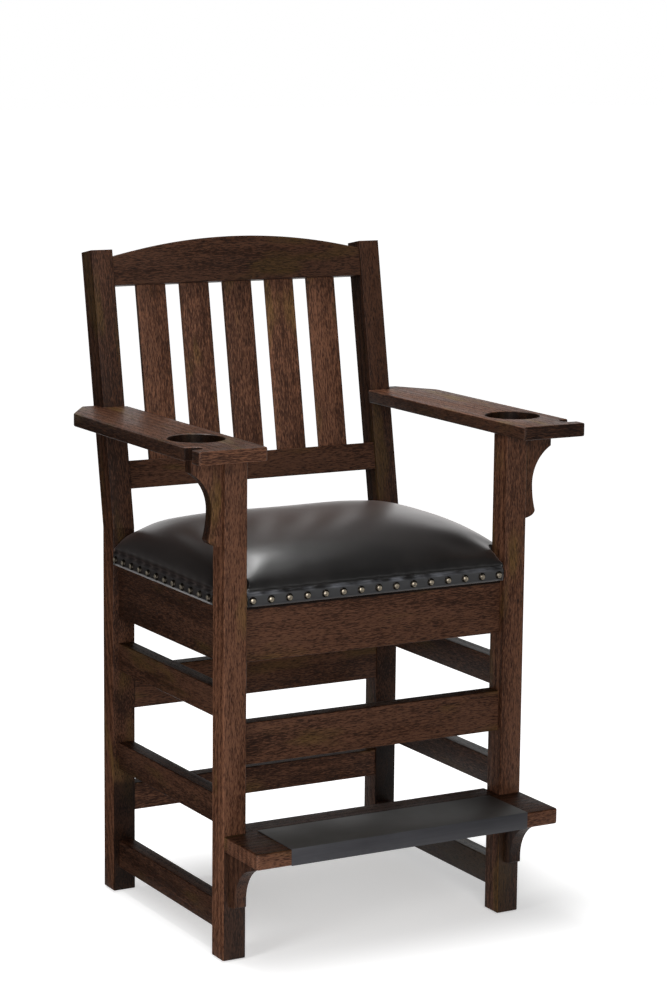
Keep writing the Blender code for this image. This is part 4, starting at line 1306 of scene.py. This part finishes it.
def make_leather():
    """Black hide with a fine pebble."""
    material, tree, place = new_finish("black_hide")
    spot = split(tree, place)
    across = math_node(tree, "ABSOLUTE", spot["X"])

    def fade(value, base, limits, *levels):
        return ramp(tree, value, base + limits[0], base + limits[1], *levels)

    cloud = noise(tree, place, 16.0, detail=4.0, roughness=0.6)
    pebble = noise(tree, place, 900.0, roughness=0.6)
    fold = noise(tree, scaled(tree, place, FOLD_STRETCH), 70.0, detail=3.0, roughness=0.55)
    beside = fade(across, seat_half.x, SIDE_FADE)
    in_front = reverse(tree, beside)
    band = fade(spot["Z"], crease, BAND_FADE, *FALLING)
    # A painted highlight along the lower edge of the band on the sides.
    painted_hem_highlight = product(tree, fade(spot["Z"], seat_low.z, HEM_FADE, *FALLING), beside)
    # A painted shadow line along the bottom of the front band.
    turned = product(tree, fade(spot["Z"], seat_low.z, SHADOW_LINE_FADE, *FALLING), in_front)
    # Painted highlights in spots on the ledge above the front nails.
    painted_glint = ramp(tree, noise(tree, place, 28.0), 0.35, 0.70)
    painted_ledge_sheen = product(tree, fade(spot["Z"], crease, LEDGE_SHEEN_FROM), fade(spot["Z"], crease, LEDGE_SHEEN_TO, *FALLING),
                   painted_glint, in_front)
    # The front band's grey is a painted sheen.
    tacked = mix_colour(tree, beside, HIDE["front band sheen"], HIDE["side band"])
    tacked = mix_colour(tree, painted_hem_highlight, tacked, HIDE["painted_hem_highlight"])
    tacked = mix_colour(tree, turned, tacked, HIDE["turned"])
    colour = mix_colour(tree, ramp(tree, cloud, 0.35, 0.7), HIDE["dark"], HIDE["light"])
    colour = mix_colour(tree, band, colour, tacked)
    dull = weighted(tree, (ramp(tree, cloud, 0.3, 0.75, to_low=0.34, to_high=0.41), 1.0), (band, 0.06))
    height = weighted(tree, (pebble, 0.7), (fold, 0.5))
    set_shader(tree, {"Base Color": mix_colour(tree, painted_ledge_sheen, colour, HIDE["painted_ledge_sheen"]), "Roughness": dull,
                      "Normal": relief(tree, height, strength=0.10, depth=0.0003), "Specular IOR Level": 0.5,
                      "Coat Weight": fade(across, seat_half.x, POLISH_FADE, *POLISH), "Coat Roughness": 0.37,
                      "Sheen Weight": 0.15, "Sheen Roughness": 0.35, "Sheen Tint": HIDE["sheen"]})
    return material


paint(cushion, make_leather())
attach(cushion, "chair_frame")
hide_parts("seat_cushion")
print("leather faces:", len(cushion.data.polygons))

# %% [markdown]
# ## Decorative nails
# Each nail has a domed antique-brass head with a thin rim. One is cut from a flattened sphere and copied
# along the band: a row at the front, and one on each side. How far a point lies from the middle of its head
# is kept with the mesh, so that the brass can darken towards the rim.

# %% Nail heads
NAIL_RADIUS = 0.0073
NAIL_DOME = 0.0040
NAIL_SIDES = 20
NAIL_RINGS = 12
NAIL_RIM = 0.0012
RIM_TAPER = 0.96
BRASS_BRIGHT = (0.70, 0.60, 0.46)
BRASS_DARK = (0.020, 0.016, 0.012)


def nail_head():
    """One nail head at the origin, its dome towards +Z."""
    head = primitive("nail_head", bpy.ops.mesh.primitive_uv_sphere_add, segments=NAIL_SIDES,
                     ring_count=NAIL_RINGS, radius=NAIL_RADIUS)
    head.scale.z = NAIL_DOME / NAIL_RADIUS
    settle(head)
    pick_all(head)
    bpy.ops.mesh.bisect(plane_co=(0.0, 0.0, 0.0), plane_no=(0.0, 0.0, 1.0), use_fill=True, clear_inner=True)
    leave_edit()
    pick_faces(head, lambda middle, normal: normal.z < -MOSTLY)
    draw_out((0.0, 0.0, -NAIL_RIM))
    bpy.ops.transform.resize(value=(RIM_TAPER, RIM_TAPER, 1.0), center_override=(0.0, 0.0, -NAIL_RIM))
    leave_edit()
    rim = head.data.attributes.new("rim", "FLOAT", "POINT")
    for vert in head.data.vertices:
        rim.data[vert.index].value = min(1.0, vert.co.xy.length / NAIL_RADIUS)
    return head


def make_brass():
    """Antique brass: bright on the dome, dark where polish never reaches."""
    material, tree, place = new_finish("antique_brass")
    rim = add_node(tree, "ShaderNodeAttribute", attribute_name="rim").outputs["Fac"]
    tarnish = noise(tree, place, 900.0, detail=3.0, roughness=0.6)
    dark = math_node(tree, "ADD", ramp(tree, rim, 0.50, 0.72), ramp(tree, tarnish, 0.42, 0.70, to_high=0.6))
    dark = math_node(tree, "MINIMUM", dark, 1.0)
    set_shader(tree, {"Base Color": mix_colour(tree, dark, BRASS_BRIGHT, BRASS_DARK), "Metallic": 0.9,
                      "Roughness": ramp(tree, tarnish, 0.3, 0.7, to_low=0.24, to_high=0.42),
                      "Normal": relief(tree, noise(tree, place, 420.0), strength=0.5, depth=0.0006)})
    return material


# %% Rows of nails
PROUD = 0.0006
NAIL_SMOOTH_BELOW = 50
nail_height = seat_low.z + NAIL_LINE
brass = make_brass()
nail_model = nail_head()


def row_of(count, pitch):
    """Places along a row, evenly spaced about its middle."""
    return [(number - (count - 1) / 2) * pitch for number in range(count)]


def nail_row(name, spots, facing):
    """A row of nails, joined into one piece."""
    copies = []
    for spot in spots:
        copy = nail_model.copy()
        copy.data = nail_model.data.copy()
        bpy.context.scene.collection.objects.link(copy)
        copy.rotation_euler = facing
        copy.location = spot
        copies.append(copy)
    alone(copies[0])
    for copy in copies:
        copy.select_set(True)
    bpy.ops.object.transform_apply(location=True, rotation=True, scale=True)
    bpy.ops.object.join()
    row = bpy.context.object
    row.name = name
    paint(row, brass)
    smooth(row, NAIL_SMOOTH_BELOW)
    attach(row, "chair_frame")


spots = [(x - NAIL_SHIFT, seat_low.y - PROUD, nail_height) for x in row_of(FRONT_NAILS, FRONT_NAIL_PITCH)]
nail_row("seat_nails_front", spots, (QUARTER_TURN, 0.0, 0.0))
for side, sign in SIDES.items():
    x = sign * (seat_half.x + PROUD)
    spots = [(x, seat_middle_y + y + NAIL_SHIFT, nail_height) for y in row_of(SIDE_NAILS, SIDE_NAIL_PITCH)]
    nail_row("seat_nails_" + side, spots, (0.0, sign * QUARTER_TURN, 0.0))
bpy.data.objects.remove(nail_model, do_unlink=True)
print("nails:", FRONT_NAILS + 2 * SIDE_NAILS)

# %% [markdown]
# ## Footrest plate
# Sheet metal is folded, so the plate starts as a flat sheet whose front edge is drawn down over the board.
# Solidify gives it its gauge and a bevel turns the fold into a small radius.

# %% Plate
PLATE_GAUGE = 0.0015
PLATE_EDGE = 0.0006
# One paint in two copies: the top painted darker and browner than the front, as painted light and shade.
PLATE_LIT_FRONT = {"dark": (0.028, 0.0275, 0.032), "light": (0.038, 0.0372, 0.043)}
PLATE_SHADED_TOP = {"dark": (0.020, 0.0186, 0.0172), "light": (0.028, 0.0262, 0.0242)}
BRUSHING = (12.0, 420.0, 420.0)


def make_plate_finish(name, dark, light):
    """Charcoal paint with a faint scuffed grain."""
    material, tree, place = new_finish(name)
    brushed = noise(tree, scaled(tree, place, BRUSHING), 1.0, detail=3.0, roughness=0.6)
    mottle = noise(tree, place, 9.0, detail=3.0, roughness=0.55)
    speck = noise(tree, place, 1500.0, detail=1.0)
    tone = weighted(tree, (brushed, 0.5), (mottle, 0.5))
    scuffs = math_node(tree, "ADD", brushed, speck)
    set_shader(tree, {"Base Color": mix_colour(tree, ramp(tree, tone, 0.35, 0.65), dark, light),
                      "Roughness": ramp(tree, mottle, 0.3, 0.7, to_low=0.50, to_high=0.60),
                      "Normal": relief(tree, scuffs, strength=0.15, depth=0.0002)})
    return material


low, high = corners("footrest_plate")
plate = sheet("footrest_plate_sheet", low, high, high.z)
pick_edges(plate, lambda first, second: max(first.y, second.y) < low.y + NEAR)
draw_out((0.0, 0.0, low.z - high.z))
bpy.ops.mesh.select_all(action="SELECT")
bpy.ops.mesh.normals_make_consistent(inside=False)
leave_edit()
if plate.data.polygons[0].normal.z < 0:
    plate.data.flip_normals()
apply_modifier(plate, "SOLIDIFY", thickness=PLATE_GAUGE, offset=-1.0, use_even_offset=True)
round_sharp(plate, PLATE_EDGE, segments=2)
smooth(plate)
paint(plate, make_plate_finish("charcoal_lit_front", **PLATE_LIT_FRONT),
      make_plate_finish("charcoal_shaded_top", **PLATE_SHADED_TOP))
for face in plate.data.polygons:
    face.material_index = 1 if face.normal.z > MOSTLY else 0
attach(plate, "chair_frame")
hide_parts("footrest_plate")
print("plate faces:", len(plate.data.polygons))

# %% [markdown]
# ## Drawer and hidden pieces
# The drawer's front is one more stained board, with a painted shadow along its top where the seat hangs over
# it. The box behind it, its runners and the seat board never get stain: they are pale, plain-sawn wood and
# plywood, and keep the shape of their solids.

# %% Drawer
# A painted shadow along the top of the drawer front, under the seat's overhang.
OVERHANG_PAINTED_SHADOW = (0.6215, 0.6238, 1.0, 0.10)
PALE = {"Lit": (0.52, 0.36, 0.21), "Deep": (0.40, 0.26, 0.14), "Pore": (0.24, 0.14, 0.07),
        "Blush": (0.47, 0.31, 0.15), "Blush Amount": 0.3, "Pore Amount": 0.5}
PLY = {"Lit": (0.58, 0.43, 0.27), "Deep": (0.47, 0.33, 0.19), "Pore": (0.30, 0.19, 0.10),
       "Blush": (0.52, 0.37, 0.22), "Blush Amount": 0.4, "Pore Amount": 0.35}
FIRST_BARE = 40
painted_overhang_shadow = area("painted_overhang_shadow", to_front, TONES["drawer_front"], shade=OVERHANG_PAINTED_SHADOW)
rail("drawer_front", X, ALONG_X, "drawer", tenon=0.0, areas=[painted_overhang_shadow])
hidden = [("drawer_back", ALONG_X, PALE), ("drawer_bottom", ALONG_X, PLY), ("seat_board", ALONG_X, PLY)]
for side in SIDES:
    for strip in ("drawer_side_", "drawer_runner_", "drawer_guide_", "drawer_kicker_"):
        hidden.append((strip + side, ALONG_Y, PALE))
for count, (node, grain, colours) in enumerate(hidden, start=FIRST_BARE):
    paint(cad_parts[node], wood("bare_" + node, grain, count, colours))
print("bare pieces:", len(hidden))

# %% [markdown]
# Four round glides keep the feet off the floor. They are moulded, so their solids already have the right
# shape and only need a finish.

# %% Glides
NYLON_DARK = (0.012, 0.012, 0.013)
NYLON_LIGHT = (0.03, 0.03, 0.031)


def make_nylon():
    """Moulded black nylon, slightly scuffed."""
    material, tree, place = new_finish("black_nylon")
    scuff = noise(tree, place, 240.0, detail=4.0, roughness=0.6)
    set_shader(tree, {"Base Color": mix_colour(tree, scuff, NYLON_DARK, NYLON_LIGHT),
                      "Roughness": ramp(tree, scuff, 0.3, 0.7, to_low=0.45, to_high=0.65)})
    return material


nylon = make_nylon()
for end in ("front", "rear"):
    for side in SIDES:
        paint(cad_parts["foot_glide_%s_%s" % (end, side)], nylon)
print("glides painted:", nylon.users)

# %% [markdown]
# ## Studio
# A pale floor runs into a white background. The white behind the chair is paint for the camera and for
# reflections, not extra light: the floor glows more the further it is from the chair. Dark cards on the
# floor, in front and on the left, keep that white out of the wood. Photographers call them flags, and here
# they show only in reflections.

# %% Floor and flags
FLOOR_HALF = 40
FLOOR_COLOUR = (0.80, 0.80, 0.80)
WHITE = (1.0, 1.0, 1.0)
FLAG_COLOUR = (0.02, 0.02, 0.02)
FLAG_HEIGHT = 0.002
FLAGS = (("studio_flag_left", (-9.0, -0.6), (-0.31, 14.0)), ("studio_flag_front", (-1.5, -5.0), (4.0, -0.6)))
GLOW_NEAR = 0.42
GLOW_FAR = 0.97
GLOW_REACH = 0.30
FOOTPRINT_MIDDLE = (0.05, 0.0, 0.0)
FOOTPRINT_HALF = (0.25, 0.20, 0.0)


def seen_directly(tree):
    """Rays from the camera, and all rays that show the background: also off a gloss or through glass."""
    path = add_node(tree, "ShaderNodeLightPath").outputs
    seen = math_node(tree, "MAXIMUM", path["Is Camera Ray"], path["Is Glossy Ray"])
    return path["Is Camera Ray"], math_node(tree, "MAXIMUM", seen, path["Is Transmission Ray"])


def make_floor_paint():
    """Pale floor that keeps the chair's shadow and turns to white paper further out."""
    material, tree, spot = new_finish("pale_floor")
    for operation, other in (("SUBTRACT", FOOTPRINT_MIDDLE), ("ABSOLUTE", None), ("SUBTRACT", FOOTPRINT_HALF),
                             ("MAXIMUM", (0.0, 0.0, 0.0))):
        step = add_node(tree, "ShaderNodeVectorMath", operation=operation)
        feed(tree, step.inputs[0], spot)
        if other:
            feed(tree, step.inputs[1], other)
        spot = step.outputs[0]
    reach = add_node(tree, "ShaderNodeVectorMath", operation="LENGTH")
    feed(tree, reach.inputs[0], spot)
    glow = ramp(tree, reach.outputs["Value"], 0.0, GLOW_REACH, GLOW_NEAR, GLOW_FAR)
    from_camera, seen = seen_directly(tree)
    set_shader(tree, {"Base Color": FLOOR_COLOUR, "Roughness": 0.9, "Specular IOR Level": 0.0,
                      "Emission Color": WHITE, "Emission Strength": product(tree, seen, glow)})
    return material


floor = sheet("studio_floor", (-FLOOR_HALF, -FLOOR_HALF), (FLOOR_HALF, FLOOR_HALF), 0.0)
paint(floor, make_floor_paint())
flag_paint, tree, place = new_finish("dark_card")
set_shader(tree, {"Base Color": FLAG_COLOUR, "Specular IOR Level": 0.0})
for name, low, high in FLAGS:
    flag = sheet(name, low, high, FLAG_HEIGHT)
    paint(flag, flag_paint)
    flag.visible_camera = False
    flag.visible_diffuse = False
    flag.visible_shadow = False
    flag.visible_transmission = False
print("flags laid:", len(FLAGS))

# %% [markdown]
# The room is dim and its light comes from four lamps. A strip overhead draws the soft footprint under the
# chair. A low reflector on the left lifts the flanks of the legs, and a large softbox near the camera lights
# the front. A small kicker hangs over the seat, near the back, and puts a highlight on the leather's front
# left.

# %% World and lamps
AMBIENT = 0.12
DIM_ROOM = 0.06
PAPER_BEHIND = (0.0, 0.5)
PAPER_RIGHT = (-0.10, 0.15)
PAPER_TOP = (0.30, 0.65)
KICKER_SPREAD = math.radians(80)
LAMPS = (
    ("overhead_strip", (-0.42, 0.20, 2.35), (0.0, 0.05, 0.6), (1.0, 0.45), 26.0),
    ("kicker", (0.025, 0.15, 1.386), (-0.22, -0.187, 0.694), (0.15, 0.15), 0.18),
    ("left_reflector", (-1.13, -0.52, 0.34), (-0.3, -0.1, 0.30), (0.3, 0.4), 5.2),
    ("fill_softbox", (-1.2, -3.4, 1.6), (0.0, 0.0, 0.6), (1.8, 1.8), 70.0),
)
world = bpy.data.worlds.new("studio_world")
bpy.context.scene.world = world
world.use_nodes = True
sky = world.node_tree
from_camera, seen = seen_directly(sky)
heading = split(sky, add_node(sky, "ShaderNodeTexCoord").outputs["Generated"])
paper = product(sky, ramp(sky, heading["Y"], *PAPER_BEHIND), ramp(sky, heading["X"], *PAPER_RIGHT),
                ramp(sky, heading["Z"], *PAPER_TOP, *FALLING))
paper = ramp(sky, paper, 0.0, 1.0, DIM_ROOM, 1.0)
mirrored = weighted(sky, (seen, paper), (reverse(sky, seen), AMBIENT))
backdrop = sky.nodes["Background"].inputs
feed(sky, backdrop["Color"], WHITE)
feed(sky, backdrop["Strength"], math_node(sky, "MAXIMUM", mirrored, from_camera))


def softbox(name, place, target, size, power):
    """An oblong lamp aimed at a point."""
    lamp = bpy.data.lights.new(name, "AREA")
    lamp.shape = "RECTANGLE"
    lamp.size, lamp.size_y = size
    lamp.energy = power
    holder = bpy.data.objects.new(name, lamp)
    bpy.context.scene.collection.objects.link(holder)
    holder.location = place
    aim = Vector(target) - Vector(place)
    holder.rotation_euler = aim.to_track_quat("-Z", "Y").to_euler()
    holder.visible_camera = False


for lamp in LAMPS:
    softbox(*lamp)
bpy.data.lights["kicker"].spread = KICKER_SPREAD
bpy.context.scene.view_settings.view_transform = "Standard"
print("lamps:", len(LAMPS))
